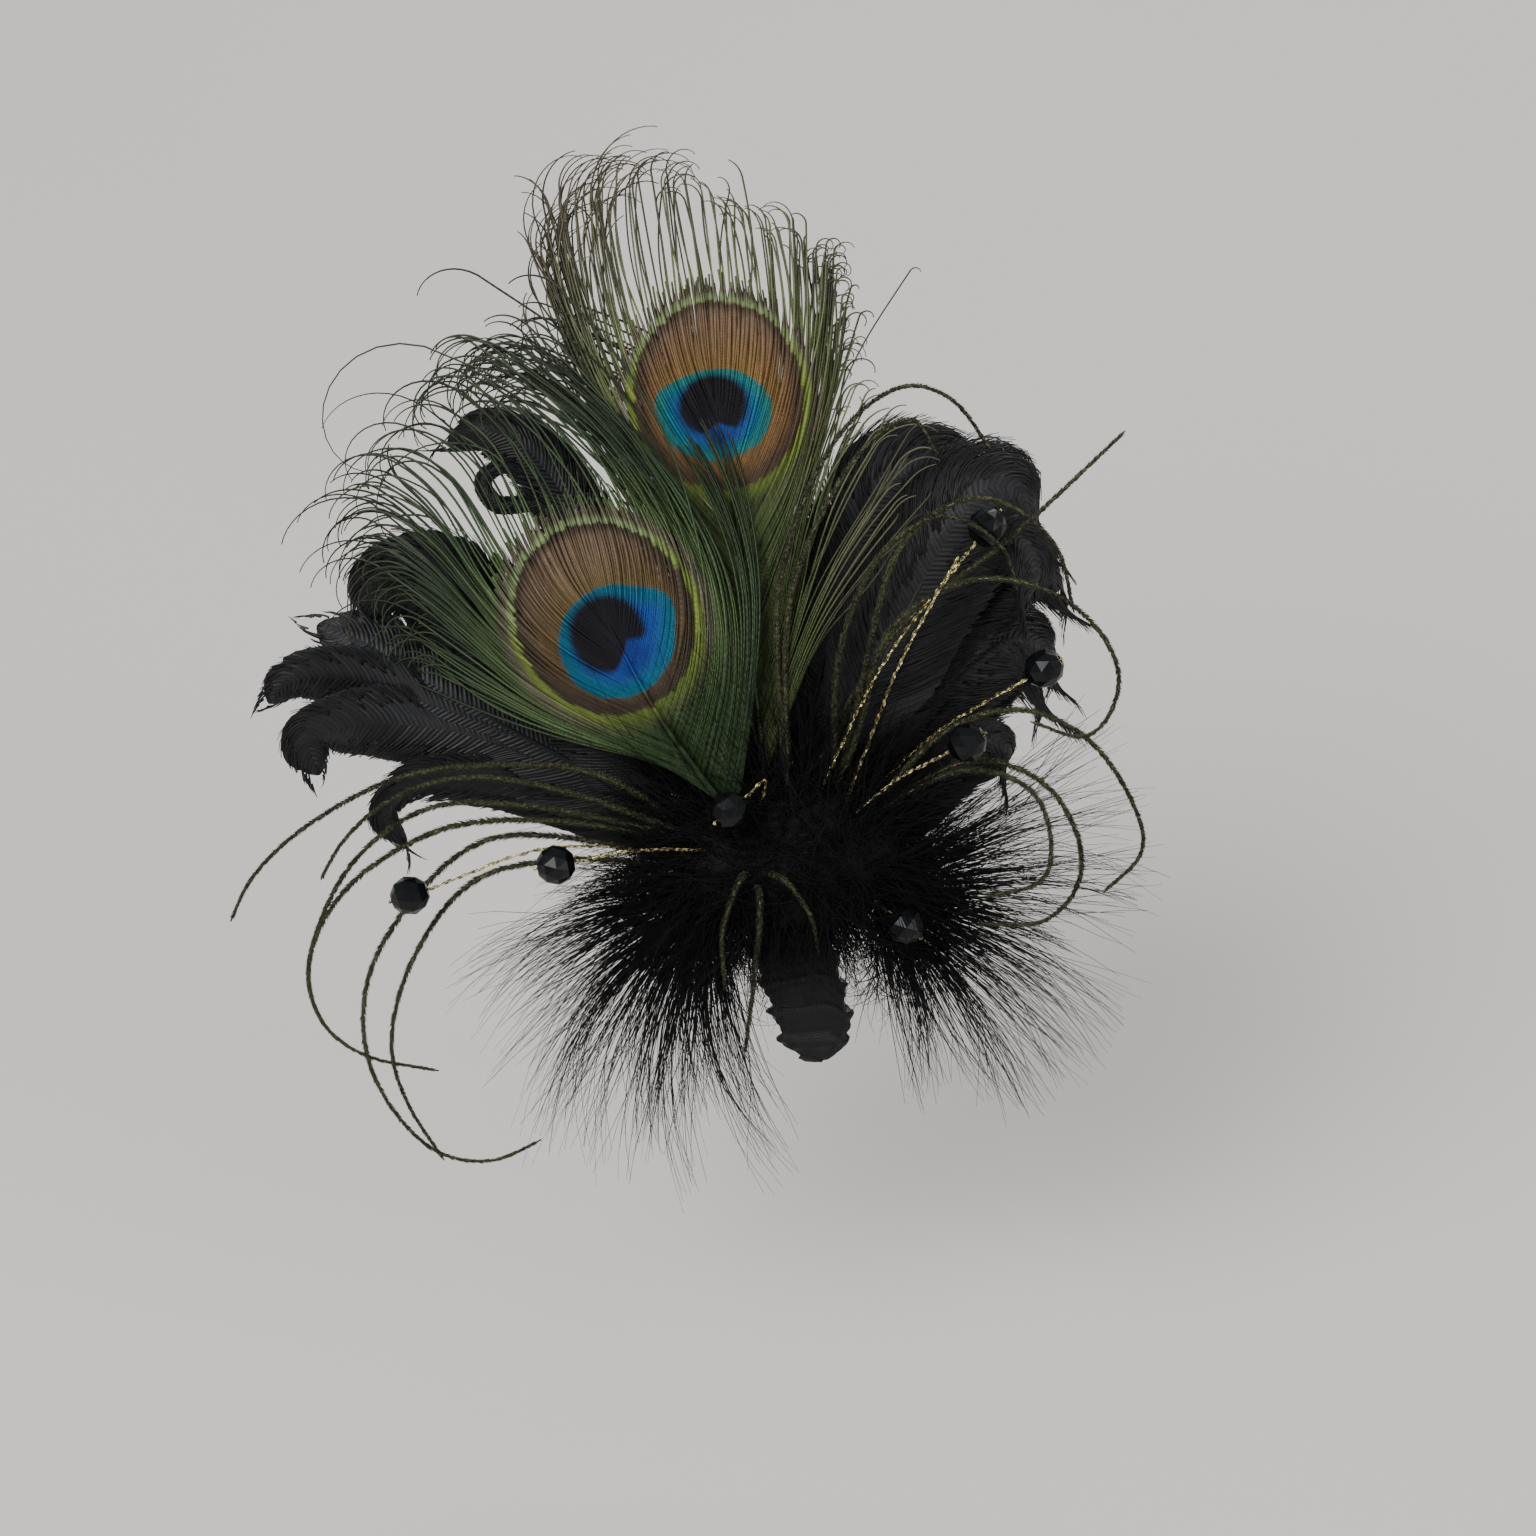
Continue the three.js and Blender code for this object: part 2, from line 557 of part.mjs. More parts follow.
// Every piece in the order in which it takes its room: each is cut clear of those before it.
const beads = BEADS.map((row, k) => [`bead_${k + 1}`, "bead", (grow) => bead(row, grow)]);
const threads = BEADS.map((row, k) => [`thread_${k + 1}`, "thread", (grow) => thread(row, grow)]);
const lean = new THREE.Matrix4().makeRotationZ(degrees(STRIP.lean));
const leaned = (solid) => solid.transform(lean.elements);
const pieces = [
  ...beads,
  ...threads,
  ["thread_tail", "thread", (grow) => tapered(THREAD_TAIL, THREAD.radius, THREAD.radius, 4, 6, grow)],
  ...EYE_FEATHERS.map((row) => [row.name, "peacock", (grow) => eyeFeather(row, grow)]),
  ...HERL_SPRAYS.map((row) => [row.name, "herl", (grow) => herlSpray(row, grow)]),
  ...GOOSE_FEATHERS.map((row) => [row.name, "goose", (grow) => gooseFeather(row, grow)]),
  ["base_strip", "ribbon", (grow) => leaned(strip(grow))],
  ["hair_clip", "clip", (grow) => leaned(clip(grow))],
  ["marabou_puff", "marabou", (grow) => puff(grow)],
  ...MARABOU.map((row) => [row.name, "marabou", (grow) => marabou(row, grow)]),
];

// The largest body of a solid that has been cut.
function mainBody(solid) {
  return solid.decompose().reduce((best, one) => (one.volume() > best.volume() ? one : best));
}

function geometryOf(solid) {
  const { numProp, vertProperties, triVerts } = solid.getMesh();
  const geometry = new THREE.BufferGeometry();
  geometry.setAttribute("position", new THREE.Float32BufferAttribute(vertProperties, numProp));
  geometry.setIndex(Array.from(triVerts));
  geometry.computeVertexNormals();
  return geometry;
}

const fascinator = new THREE.Group();
fascinator.rotation.x = degrees(90 - SEAT_RISE);
const taken = [];
for (const [name, finish, build] of pieces) {
  const solid = mainBody(taken.reduce((left, room) => left.subtract(room), build(0)));
  taken.push(build(GAP));
  const mesh = new THREE.Mesh(geometryOf(solid), new THREE.MeshStandardMaterial(finishes[finish]));
  mesh.name = name;
  fascinator.add(mesh);
}

export default fascinator;
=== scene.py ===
"""A feather fascinator: every visible surface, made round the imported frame.

Places are in millimetres in the seat's own frame: across towards the front, up along the seat, and out
away from it. seat() turns them into the frame's own axes, which are metres with +Z up.
"""
import logging
import math
from dataclasses import dataclass, field, replace
from enum import Enum
from typing import ClassVar

import bpy
import numpy as np
from mathutils import Matrix, Vector


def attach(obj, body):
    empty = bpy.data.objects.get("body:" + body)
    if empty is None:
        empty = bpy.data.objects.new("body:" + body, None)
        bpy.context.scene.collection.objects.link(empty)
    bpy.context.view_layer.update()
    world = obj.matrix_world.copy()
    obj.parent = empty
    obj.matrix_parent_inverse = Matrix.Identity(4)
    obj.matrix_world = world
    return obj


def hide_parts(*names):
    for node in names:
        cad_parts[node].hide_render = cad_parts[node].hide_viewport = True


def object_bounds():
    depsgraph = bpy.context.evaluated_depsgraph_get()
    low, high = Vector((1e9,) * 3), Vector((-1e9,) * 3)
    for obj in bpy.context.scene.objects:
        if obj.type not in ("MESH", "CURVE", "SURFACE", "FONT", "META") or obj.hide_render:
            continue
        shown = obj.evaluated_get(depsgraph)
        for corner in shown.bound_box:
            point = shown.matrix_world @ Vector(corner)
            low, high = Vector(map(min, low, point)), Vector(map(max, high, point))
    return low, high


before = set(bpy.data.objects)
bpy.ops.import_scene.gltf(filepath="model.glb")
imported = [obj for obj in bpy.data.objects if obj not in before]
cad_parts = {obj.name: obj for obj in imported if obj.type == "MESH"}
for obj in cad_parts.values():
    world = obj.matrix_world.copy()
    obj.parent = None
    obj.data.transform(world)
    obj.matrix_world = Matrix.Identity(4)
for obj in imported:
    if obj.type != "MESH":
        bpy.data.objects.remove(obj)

CAD_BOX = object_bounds()
LOG = logging.getLogger("fascinator")

MM = 0.001
SEAT_RISE = math.radians(35.0)  # of the outward direction above the horizon
SEAT_RADIUS = 95.0  # of the curve that the strip and the plumes follow
OUT = np.array([0.0, 0.0, 1.0])
TONES = 24  # bands of a piece's map, of which each strand has one, with a colour of its own
THIRDS = (0.0, math.tau / 3, 2 * math.tau / 3)
BETWEEN = 9  # places drawn from one control of a curve to the next
FINE = 241  # places on a line that others are measured along

Places = tuple[tuple[float, float, float], ...]
Flat = tuple[float, float]
Colour = tuple[float, float, float]


class Section(Enum):
    """Outlines that a strand can have, as corners across and up, for a half width of one."""

    HAIR = ((0.87, -0.5), (0.0, 1.0), (-0.87, -0.5))
    BARB = ((1.0, -0.16), (0.0, 0.34), (-1.0, -0.16))
    QUILL = ((1.0, -0.2), (0.6, 0.75), (-0.6, 0.75), (-1.0, -0.2), (-0.5, -0.8), (0.5, -0.8))
    CORD = tuple((math.cos(k * math.tau / 5), math.sin(k * math.tau / 5)) for k in range(5))
    TINSEL = ((1.0, -0.16), (1.0, 0.16), (-1.0, 0.16), (-1.0, -0.16))


class Side(Enum):
    """The two sides of a shaft."""

    LEFT = -1.0
    RIGHT = 1.0


def seat(places: np.ndarray) -> np.ndarray:
    """Turn places on the seat into the frame's own axes.

    Args:
        places: millimetres across, up and out, in the last axis.

    Returns:
        The same places in metres, with +Z up.
    """
    sine, cosine = math.sin(SEAT_RISE), math.cos(SEAT_RISE)
    across, up, out = places[..., 0], places[..., 1], places[..., 2]
    return MM * np.stack([across, up * sine - out * cosine, up * cosine + out * sine], axis=-1)


def smooth_step(value: np.ndarray, low: float, high: float) -> np.ndarray:
    """Rise smoothly from 0 at low to 1 at high."""
    share = np.clip((value - low) / (high - low), 0.0, 1.0)
    return share * share * (3.0 - 2.0 * share)


def unit(vectors: np.ndarray) -> np.ndarray:
    """Scale vectors in the last axis to a length of one."""
    return vectors / np.maximum(np.linalg.norm(vectors, axis=-1, keepdims=True), 1e-9)


def through(controls: np.ndarray, count: int) -> np.ndarray:
    """Draw centripetal Catmull-Rom curves through control places.

    Args:
        controls: strands by places by three.
        count: how many places each finished curve has.

    Returns:
        Evenly spaced places on each curve, strands by count by three.
    """
    controls = np.asarray(controls, dtype=float)
    before = 2 * controls[:, :1] - controls[:, 1:2]
    after = 2 * controls[:, -1:] - controls[:, -2:-1]
    knots = np.concatenate([before, controls, after], axis=1)
    pace = np.sqrt(np.maximum(np.linalg.norm(np.diff(knots, axis=1), axis=-1), 1e-6))[..., None]
    drawn = []
    shares = np.linspace(0.0, 1.0, BETWEEN)[None, :, None]
    for i in range(controls.shape[1] - 1):
        p0, p1, p2, p3 = (knots[:, i + k, None] for k in range(4))
        d0, d1, d2 = (pace[:, i + k, None] for k in range(3))
        t0, t1, t2, t3 = 0.0, d0, d0 + d1, d0 + d1 + d2
        t = t1 + shares * d1
        a1 = ((t1 - t) * p0 + (t - t0) * p1) / (t1 - t0)
        a2 = ((t2 - t) * p1 + (t - t1) * p2) / (t2 - t1)
        a3 = ((t3 - t) * p2 + (t - t2) * p3) / (t3 - t2)
        b1 = ((t2 - t) * a1 + (t - t0) * a2) / (t2 - t0)
        b2 = ((t3 - t) * a2 + (t - t1) * a3) / (t3 - t1)
        part = ((t2 - t) * b1 + (t - t1) * b2) / (t2 - t1)
        drawn.append(part if i == 0 else part[:, 1:])
    return evenly(np.concatenate(drawn, axis=1), count)


def evenly(paths: np.ndarray, count: int) -> np.ndarray:
    """Place points again along each path, at equal steps.

    Args:
        paths: strands by places by three.
        count: how many places each path gets.

    Returns:
        Strands by count by three.
    """
    steps = np.linalg.norm(np.diff(paths, axis=1), axis=-1)
    travelled = np.concatenate([np.zeros((len(paths), 1)), np.cumsum(steps, axis=1)], axis=1)
    result = np.empty((len(paths), count, 3))
    for strand, (path, lengths) in enumerate(zip(paths, travelled)):
        wanted = np.linspace(0.0, lengths[-1], count)
        for axis in range(3):
            result[strand, :, axis] = np.interp(wanted, lengths, path[:, axis])
    return result


def carried_frames(paths: np.ndarray) -> tuple[np.ndarray, np.ndarray]:
    """Carry a direction that starts outwards along paths, without needless turning.

    Args:
        paths: strands by places by three.

    Returns:
        The across and up directions at every place.
    """
    along = unit(np.gradient(paths, axis=1))
    up = np.broadcast_to(OUT, paths[:, 0].shape)
    ups = np.empty_like(paths)
    for i in range(paths.shape[1]):
        up = unit(up - along[:, i] * np.sum(up * along[:, i], axis=-1, keepdims=True))
        ups[:, i] = up
    return np.cross(ups, along), ups


def softened(paths: np.ndarray, passes: int) -> np.ndarray:
    """Round the corners of paths and keep their ends.

    Args:
        paths: strands by places by three.
        passes: how often each place is drawn to the middle of its neighbours.

    Returns:
        The softer paths.
    """
    for _ in range(passes):
        middle = 0.25 * paths[:, :-2] + 0.5 * paths[:, 1:-1] + 0.25 * paths[:, 2:]
        paths = np.concatenate([paths[:, :1], middle, paths[:, -1:]], axis=1)
    return paths


def hooked(paths: np.ndarray, turn: np.ndarray, radius: np.ndarray, count: int) -> np.ndarray:
    """Curl the free ends of strands in the plane of the feather, ever tighter and slightly inwards.

    Args:
        paths: strands by places by three.
        turn: how far each end curls, in radians, anticlockwise as seen from outside.
        radius: the curl's radius at its start, in millimetres.
        count: how many places the curl adds.

    Returns:
        The longer paths.
    """
    ahead = paths[:, -1] - paths[:, -3]
    heading = np.arctan2(ahead[:, 1], ahead[:, 0])
    place = paths[:, -1].copy()
    added = []
    for k in range(count):
        heading = heading + turn / count
        stride = np.maximum(np.abs(turn), 0.1) * radius * (1.25 - 0.75 * k / count) / count
        step = [np.cos(heading) * stride, np.sin(heading) * stride, -0.16 * stride]
        place = place + np.stack(step, axis=-1)
        added.append(place)
    return np.concatenate([paths, np.stack(added, axis=1)], axis=1)


@dataclass
class Skin:
    """Faces that are on their way into one mesh.

    quad_map and cap_map place each face's corners on the piece's flat map, and values holds one
    number for each vertex under each name that a finish reads.
    """

    places: np.ndarray
    quads: np.ndarray
    caps: np.ndarray
    quad_map: np.ndarray
    cap_map: np.ndarray
    values: dict[str, np.ndarray]

    @staticmethod
    def joined(skins: list["Skin"]) -> "Skin":
        """Join skins into one.

        Args:
            skins: skins that carry the same values.

        Returns:
            One skin with all their faces.
        """
        starts = np.cumsum([0] + [len(skin.places) for skin in skins[:-1]])
        return Skin(
            np.concatenate([skin.places for skin in skins]),
            np.concatenate([skin.quads + start for skin, start in zip(skins, starts)]),
            np.concatenate([skin.caps + start for skin, start in zip(skins, starts)]),
            np.concatenate([skin.quad_map for skin in skins]),
            np.concatenate([skin.cap_map for skin in skins]),
            {name: np.concatenate([skin.values[name] for skin in skins]) for name in skins[0].values},
        )

    def laid_flat(self, spread: float) -> "Skin":
        """Place every face on the map as it is seen from outside.

        Args:
            spread: the side of the square that the map covers, in millimetres.

        Returns:
            The skin with its new map.
        """
        low = self.places[:, :2].min(axis=0)
        flat = (self.places[:, :2] - low) / spread
        return replace(self, quad_map=flat[self.quads], cap_map=flat[self.caps])

    def built(self, name: str, finish: "Finish") -> bpy.types.Object:
        """Make the mesh object and give it its finish.

        Args:
            name: the object's name.
            finish: its finish.

        Returns:
            The object, linked to the scene.
        """
        mesh = bpy.data.meshes.new(name)
        corners = np.concatenate([self.quads.ravel(), self.caps.ravel()])
        starts = np.concatenate([
            4 * np.arange(len(self.quads)),
            4 * len(self.quads) + 3 * np.arange(len(self.caps)),
        ])
        mesh.vertices.add(len(self.places))
        mesh.vertices.foreach_set("co", seat(self.places).astype(np.float32).ravel())
        mesh.loops.add(len(corners))
        mesh.loops.foreach_set("vertex_index", corners.astype(np.int32))
        mesh.polygons.add(len(starts))
        mesh.polygons.foreach_set("loop_start", starts.astype(np.int32))
        mesh.update(calc_edges=True)
        mesh.polygons.foreach_set("use_smooth", np.ones(len(starts), dtype=bool))
        flat = np.concatenate([self.quad_map.reshape(-1, 2), self.cap_map.reshape(-1, 2)])
        mesh.uv_layers.new(name="OFBake").data.foreach_set("uv", flat.astype(np.float32).ravel())
        for key, numbers in self.values.items():
            kept = mesh.attributes.new(key, "FLOAT", "POINT")
            kept.data.foreach_set("value", numbers.astype(np.float32))
        mesh.materials.append(finish.material())
        piece = bpy.data.objects.new(name, mesh)
        bpy.context.scene.collection.objects.link(piece)
        return piece


def swept(
    paths: np.ndarray,
    half: np.ndarray,
    section: Section,
    tones: np.ndarray,
    extra: dict[str, np.ndarray] | None = None,
    roll: np.ndarray | None = None,
) -> Skin:
    """Carry a closed outline along many paths at once.

    Args:
        paths: strands by places by three, in millimetres.
        half: half widths, one for each place.
        section: the outline.
        tones: a share from 0 to 1 for each strand, for its colour.
        extra: further values, one for each place.
        roll: how far the outline is rolled at each place, in radians.

    Returns:
        One closed body for each strand, with the values along and tone.
    """
    strands, count = paths.shape[:2]
    outline = np.array(section.value)
    sides = len(outline)
    across, up = carried_frames(paths)
    if roll is not None:
        sine, cosine = np.sin(roll)[..., None], np.cos(roll)[..., None]
        across, up = across * cosine + up * sine, up * cosine - across * sine
    size = half[..., None, None]
    ring = paths[:, :, None] + size * (
        outline[:, 0, None] * across[:, :, None] + outline[:, 1, None] * up[:, :, None]
    )
    index = np.arange(strands * count * sides).reshape(strands, count, sides)
    turned = np.roll(index, -1, axis=2)
    quads = np.stack([index[:, :-1], turned[:, :-1], turned[:, 1:], index[:, 1:]], axis=-1).reshape(-1, 4)
    fan = np.arange(1, sides - 1)
    first = np.stack([np.broadcast_to(index[:, 0, :1], (strands, sides - 2)),
                      index[:, 0, fan + 1], index[:, 0, fan]], axis=-1)
    last = np.stack([np.broadcast_to(index[:, -1, :1], (strands, sides - 2)),
                     index[:, -1, fan], index[:, -1, fan + 1]], axis=-1)
    row = np.minimum((tones * TONES).astype(int), TONES - 1)
    along = np.linspace(0.0, 1.0, count)
    edge = (row[:, None] + np.arange(sides + 1) / sides) / TONES
    near, far = along[:-1][None, :, None], along[1:][None, :, None]
    low, high = edge[:, None, :-1], edge[:, None, 1:]
    shape = (strands, count - 1, sides)
    quad_map = np.stack([
        np.stack([np.broadcast_to(u, shape), np.broadcast_to(v, shape)], axis=-1)
        for u, v in ((near, low), (near, high), (far, high), (far, low))
    ], axis=3).reshape(-1, 4, 2)
    ends = []
    for start, finish in ((0.0, along[1]), (along[-2], 1.0)):
        corner_u = np.array([start, finish, finish])
        corner_v = np.stack([edge[:, 0], edge[:, 0], edge[:, 1]], axis=-1)
        both = np.stack([np.broadcast_to(corner_u, corner_v.shape), corner_v], axis=-1)
        ends.append(np.repeat(both[:, None], sides - 2, axis=1).reshape(-1, 3, 2))
    spread = (strands, count, sides)
    values = {
        "along": np.broadcast_to(along[None, :, None], spread).ravel(),
        "tone": np.broadcast_to(((row + 0.5) / TONES)[:, None, None], spread).ravel(),
    }
    for key, numbers in (extra or {}).items():
        values[key] = np.broadcast_to(numbers[..., None], spread).ravel()
    return Skin(
        ring.reshape(-1, 3), quads, np.concatenate([first.reshape(-1, 3), last.reshape(-1, 3)]),
        quad_map, np.concatenate(ends), values,
    )


def spiked(base: np.ndarray, tip: np.ndarray, half: float, tones: np.ndarray) -> Skin:
    """Make one slim pyramid for each pair of places.

    Args:
        base: the middles of the pyramids' feet.
        tip: their points.
        half: half the width of a foot.
        tones: a share from 0 to 1 for each pyramid, for its colour.

    Returns:
        The pyramids, with the values along and tone.
    """
    count = len(base)
    ahead = unit(tip - base)
    across = unit(np.cross(ahead, OUT + 0.001))
    up = np.cross(across, ahead)
    corners = [base + half * (math.cos(turn) * across + math.sin(turn) * up) for turn in THIRDS]
    places = np.stack([*corners, tip], axis=1)
    faces = 4 * np.arange(count)[:, None, None] + np.array([[1, 0, 3], [2, 1, 3], [0, 2, 3], [0, 1, 2]])
    row = np.minimum((tones * TONES).astype(int), TONES - 1)
    low = (row[:, None] + np.arange(4) / 4) / TONES
    high = low + 0.25 / TONES
    u = np.array([0.02, 0.02, 0.98])
    v = np.stack([low, high, (low + high) / 2], axis=-1)
    values = {
        "along": np.tile(np.array([0.0, 0.0, 0.0, 1.0]), count),
        "tone": np.repeat((row + 0.5) / TONES, 4),
    }
    cap_map = np.stack([np.broadcast_to(u, v.shape), v], axis=-1).reshape(-1, 3, 2)
    return Skin(places.reshape(-1, 3), np.zeros((0, 4), int), faces.reshape(-1, 3), np.zeros((0, 4, 2)),
                cap_map, values)


def wrapped(rings: np.ndarray, extra: dict[str, np.ndarray] | None = None) -> Skin:
    """Skin a row of rings into one closed body.

    Args:
        rings: rows by corners by three, anticlockwise as seen from the last row.
        extra: further values, one for each corner of each row.

    Returns:
        The body, with the values along and tone.
    """
    count, sides = rings.shape[:2]
    index = np.arange(count * sides).reshape(count, sides)
    turned = np.roll(index, -1, axis=1)
    quads = np.stack([index[:-1], turned[:-1], turned[1:], index[1:]], axis=-1).reshape(-1, 4)
    middles = np.array([count * sides, count * sides + 1])
    first = np.stack([np.full(sides, middles[0]), turned[0], index[0]], axis=-1)
    last = np.stack([np.full(sides, middles[1]), index[-1], turned[-1]], axis=-1)
    places = np.concatenate([rings.reshape(-1, 3), rings[[0, -1]].mean(axis=1)])
    u = np.repeat(np.linspace(0.02, 0.98, count)[:, None], sides, axis=1)
    v = np.repeat(np.linspace(0.0, 1.0, sides + 1)[None], count, axis=0)
    quad_map = np.stack([
        np.stack([u[:-1], v[:-1, :-1]], axis=-1), np.stack([u[:-1], v[:-1, 1:]], axis=-1),
        np.stack([u[1:], v[1:, 1:]], axis=-1), np.stack([u[1:], v[1:, :-1]], axis=-1),
    ], axis=2).reshape(-1, 4, 2)
    caps = []
    for near, far, top, bottom in ((0.0, 0.02, 1, 0), (1.0, 0.98, 0, 1)):
        centre = np.stack([np.full(sides, near), (v[0, 1:] + v[0, :-1]) / 2], axis=-1)
        pair = (v[0, 1:], v[0, :-1])
        one = np.stack([np.full(sides, far), pair[1 - top]], axis=-1)
        two = np.stack([np.full(sides, far), pair[1 - bottom]], axis=-1)
        caps.append(np.stack([centre, one, two], axis=1))
    pad = np.array([0.0, 1.0])
    values = {"along": np.append(np.repeat(np.linspace(0, 1, count), sides), pad),
              "tone": np.full(count * sides + 2, 0.5)}
    for key, numbers in (extra or {}).items():
        values[key] = np.append(numbers.ravel(), numbers[[0, -1]].mean(axis=1))
    return Skin(places, quads, np.concatenate([first, last]), quad_map, np.concatenate(caps), values)


class Signal:
    """A node's output, on which arithmetic adds Math nodes."""

    def __init__(self, nodes: "Nodes", socket: bpy.types.NodeSocket) -> None:
        """Hold the tree and the socket."""
        self.nodes = nodes
        self.socket = socket

    def _with(self, operation: str, *terms: "Signal | float") -> "Signal":
        """Add one Math node.

        Args:
            operation: the node's operation.
            terms: its inputs in order.

        Returns:
            The node's output.
        """
        sockets = dict(enumerate(terms))
        return self.nodes.signal("ShaderNodeMath", {"operation": operation}, sockets, 0)

    def __add__(self, other: "Signal | float") -> "Signal":
        """Add."""
        return self._with("ADD", self, other)

    def __sub__(self, other: "Signal | float") -> "Signal":
        """Take away."""
        return self._with("SUBTRACT", self, other)

    def __rsub__(self, other: float) -> "Signal":
        """Take away from a number."""
        return self._with("SUBTRACT", other, self)

    def __mul__(self, other: "Signal | float") -> "Signal":
        """Multiply."""
        return self._with("MULTIPLY", self, other)

    def __truediv__(self, other: "Signal | float") -> "Signal":
        """Divide."""
        return self._with("DIVIDE", self, other)

    def __rtruediv__(self, other: float) -> "Signal":
        """Divide a number."""
        return self._with("DIVIDE", other, self)

    def __pow__(self, other: "Signal | float") -> "Signal":
        """Raise to a power."""
        return self._with("POWER", self, other)

    def __rpow__(self, other: float) -> "Signal":
        """Raise a number to a power."""
        return self._with("POWER", other, self)

    __radd__ = __add__
    __rmul__ = __mul__

    def sine(self) -> "Signal":
        """Return the sine."""
        return self._with("SINE", self)

    def size(self) -> "Signal":
        """Return the value without its sign."""
        return self._with("ABSOLUTE", self)

    def most(self, other: "Signal | float") -> "Signal":
        """Return the larger of two."""
        return self._with("MAXIMUM", self, other)

    def eased(self, low: float, high: "Signal | float") -> "Signal":
        """Rise smoothly from 0 at low to 1 at high."""
        sockets = {"Value": self, "From Min": low, "From Max": high}
        return self.nodes.signal("ShaderNodeMapRange", {"interpolation_type": "SMOOTHSTEP"}, sockets, 0)


class Nodes:
    """The node tree of one material, with its Principled shader."""

    def __init__(self, name: str) -> None:
        """Make a material with one shader.

        Args:
            name: the material's name.
        """
        self.surface = bpy.data.materials.new(name)
        self.surface.use_nodes = True
        self.tree = self.surface.node_tree
        self.tree.nodes.clear()
        output = self.tree.nodes.new("ShaderNodeOutputMaterial")
        self.shader = self.node("ShaderNodeBsdfPrincipled")
        self.tree.links.new(self.shader.outputs[0], output.inputs["Surface"])

    def node(
        self,
        kind: str,
        settings: dict[str, object] | None = None,
        sockets: dict[str | int, object] | None = None,
    ) -> bpy.types.Node:
        """Add a node.

        Args:
            kind: the node's type.
            settings: its own settings, with stops for a ramp's places and colours.
            sockets: values or signals for its inputs, by name or by number.

        Returns:
            The node.
        """
        added = self.tree.nodes.new(kind)
        for key, value in (settings or {}).items():
            if key == "stops":
                ramp = added.color_ramp.elements
                while len(ramp) < len(value):
                    ramp.new(1.0)
                for stop, (place, colour) in zip(ramp, value):
                    stop.position = place
                    stop.color = (*colour, 1.0)
            else:
                setattr(added, key, value)
        for key, value in (sockets or {}).items():
            self.feed(added.inputs[key], value)
        return added

    def feed(self, socket: bpy.types.NodeSocket, value: object) -> None:
        """Link a signal to a socket, or set the socket's own value.

        Args:
            socket: the input.
            value: the signal, number or colour that it gets.
        """
        if isinstance(value, Signal):
            self.tree.links.new(value.socket, socket)
        else:
            socket.default_value = value

    def signal(
        self,
        kind: str,
        settings: dict[str, object] | None = None,
        sockets: dict[str | int, object] | None = None,
        output: str | int = 0,
    ) -> Signal:
        """Add a node and hold one of its outputs.

        Args:
            kind: the node's type.
            settings: its own settings.
            sockets: values or signals for its inputs.
            output: the output, by name or by number.

        Returns:
            The output.
        """
        return Signal(self, self.node(kind, settings, sockets).outputs[output])

    def value(self, name: str) -> Signal:
        """Read a number that the mesh carries for each vertex."""
        return self.signal("ShaderNodeAttribute", {"attribute_name": name}, output="Fac")

    def ramp(self, factor: Signal, *stops: tuple[float, Colour]) -> Signal:
        """Colour a factor by stops."""
        return self.signal("ShaderNodeValToRGB", {"stops": stops}, {"Fac": factor}, "Color")

    def mix(self, factor: Signal, low: "Signal | Colour", high: "Signal | Colour") -> Signal:
        """Mix two colours: low where the factor is 0 and high where it is 1."""
        low, high = (term if isinstance(term, Signal) else (*term, 1.0) for term in (low, high))
        return self.signal("ShaderNodeMix", {"data_type": "RGBA"}, {0: factor, 6: low, 7: high}, 2)

    def scaled(self, colour: Signal, factor: Signal) -> Signal:
        """Make a colour lighter or darker by a factor."""
        return self.signal("ShaderNodeVectorMath", {"operation": "SCALE"}, {0: colour, "Scale": factor}, 0)

    def noise(self, scale: float, detail: float = 2.0, place: "Signal | None" = None) -> Signal:
        """Read noise.

        Args:
            scale: how many of its cells there are to a unit.
            detail: how many finer octaves it has.
            place: where it is read, or else the object's own space in metres.

        Returns:
            The noise, from 0 to 1.
        """
        where = place or self.signal("ShaderNodeTexCoord", output="Object")
        sockets = {"Vector": where, "Scale": scale, "Detail": detail}
        return self.signal("ShaderNodeTexNoise", {}, sockets, "Fac")

    def point(self, across: Signal, up: Signal) -> Signal:
        """Join two signals into a place."""
        return self.signal("ShaderNodeCombineXYZ", {}, {"X": across, "Y": up}, 0)

    def bump(self, height: Signal, strength: float, depth: float) -> None:
        """Raise the surface by a height, depth in metres."""
        sockets = {"Height": height, "Strength": strength, "Distance": depth}
        self.feed(self.shader.inputs["Normal"], self.signal("ShaderNodeBump", {}, sockets, "Normal"))

    def finished(self, **sockets: object) -> bpy.types.Material:
        """Feed the shader.

        Args:
            sockets: values or signals by the input's name, with underscores in place of spaces.

        Returns:
            The material.
        """
        for key, value in sockets.items():
            self.feed(self.shader.inputs[key.replace("_", " ")], value)
        return self.surface


@dataclass(frozen=True)
class Finish:
    """What one surface looks like."""

    name: str

    def material(self) -> bpy.types.Material:
        """Return the material, made the first time that it is asked for."""
        return bpy.data.materials.get(self.name) or self.mixed(Nodes(self.name))

    def mixed(self, nodes: Nodes) -> bpy.types.Material:
        """Build the material in a tree that has only the shader yet."""
        raise NotImplementedError


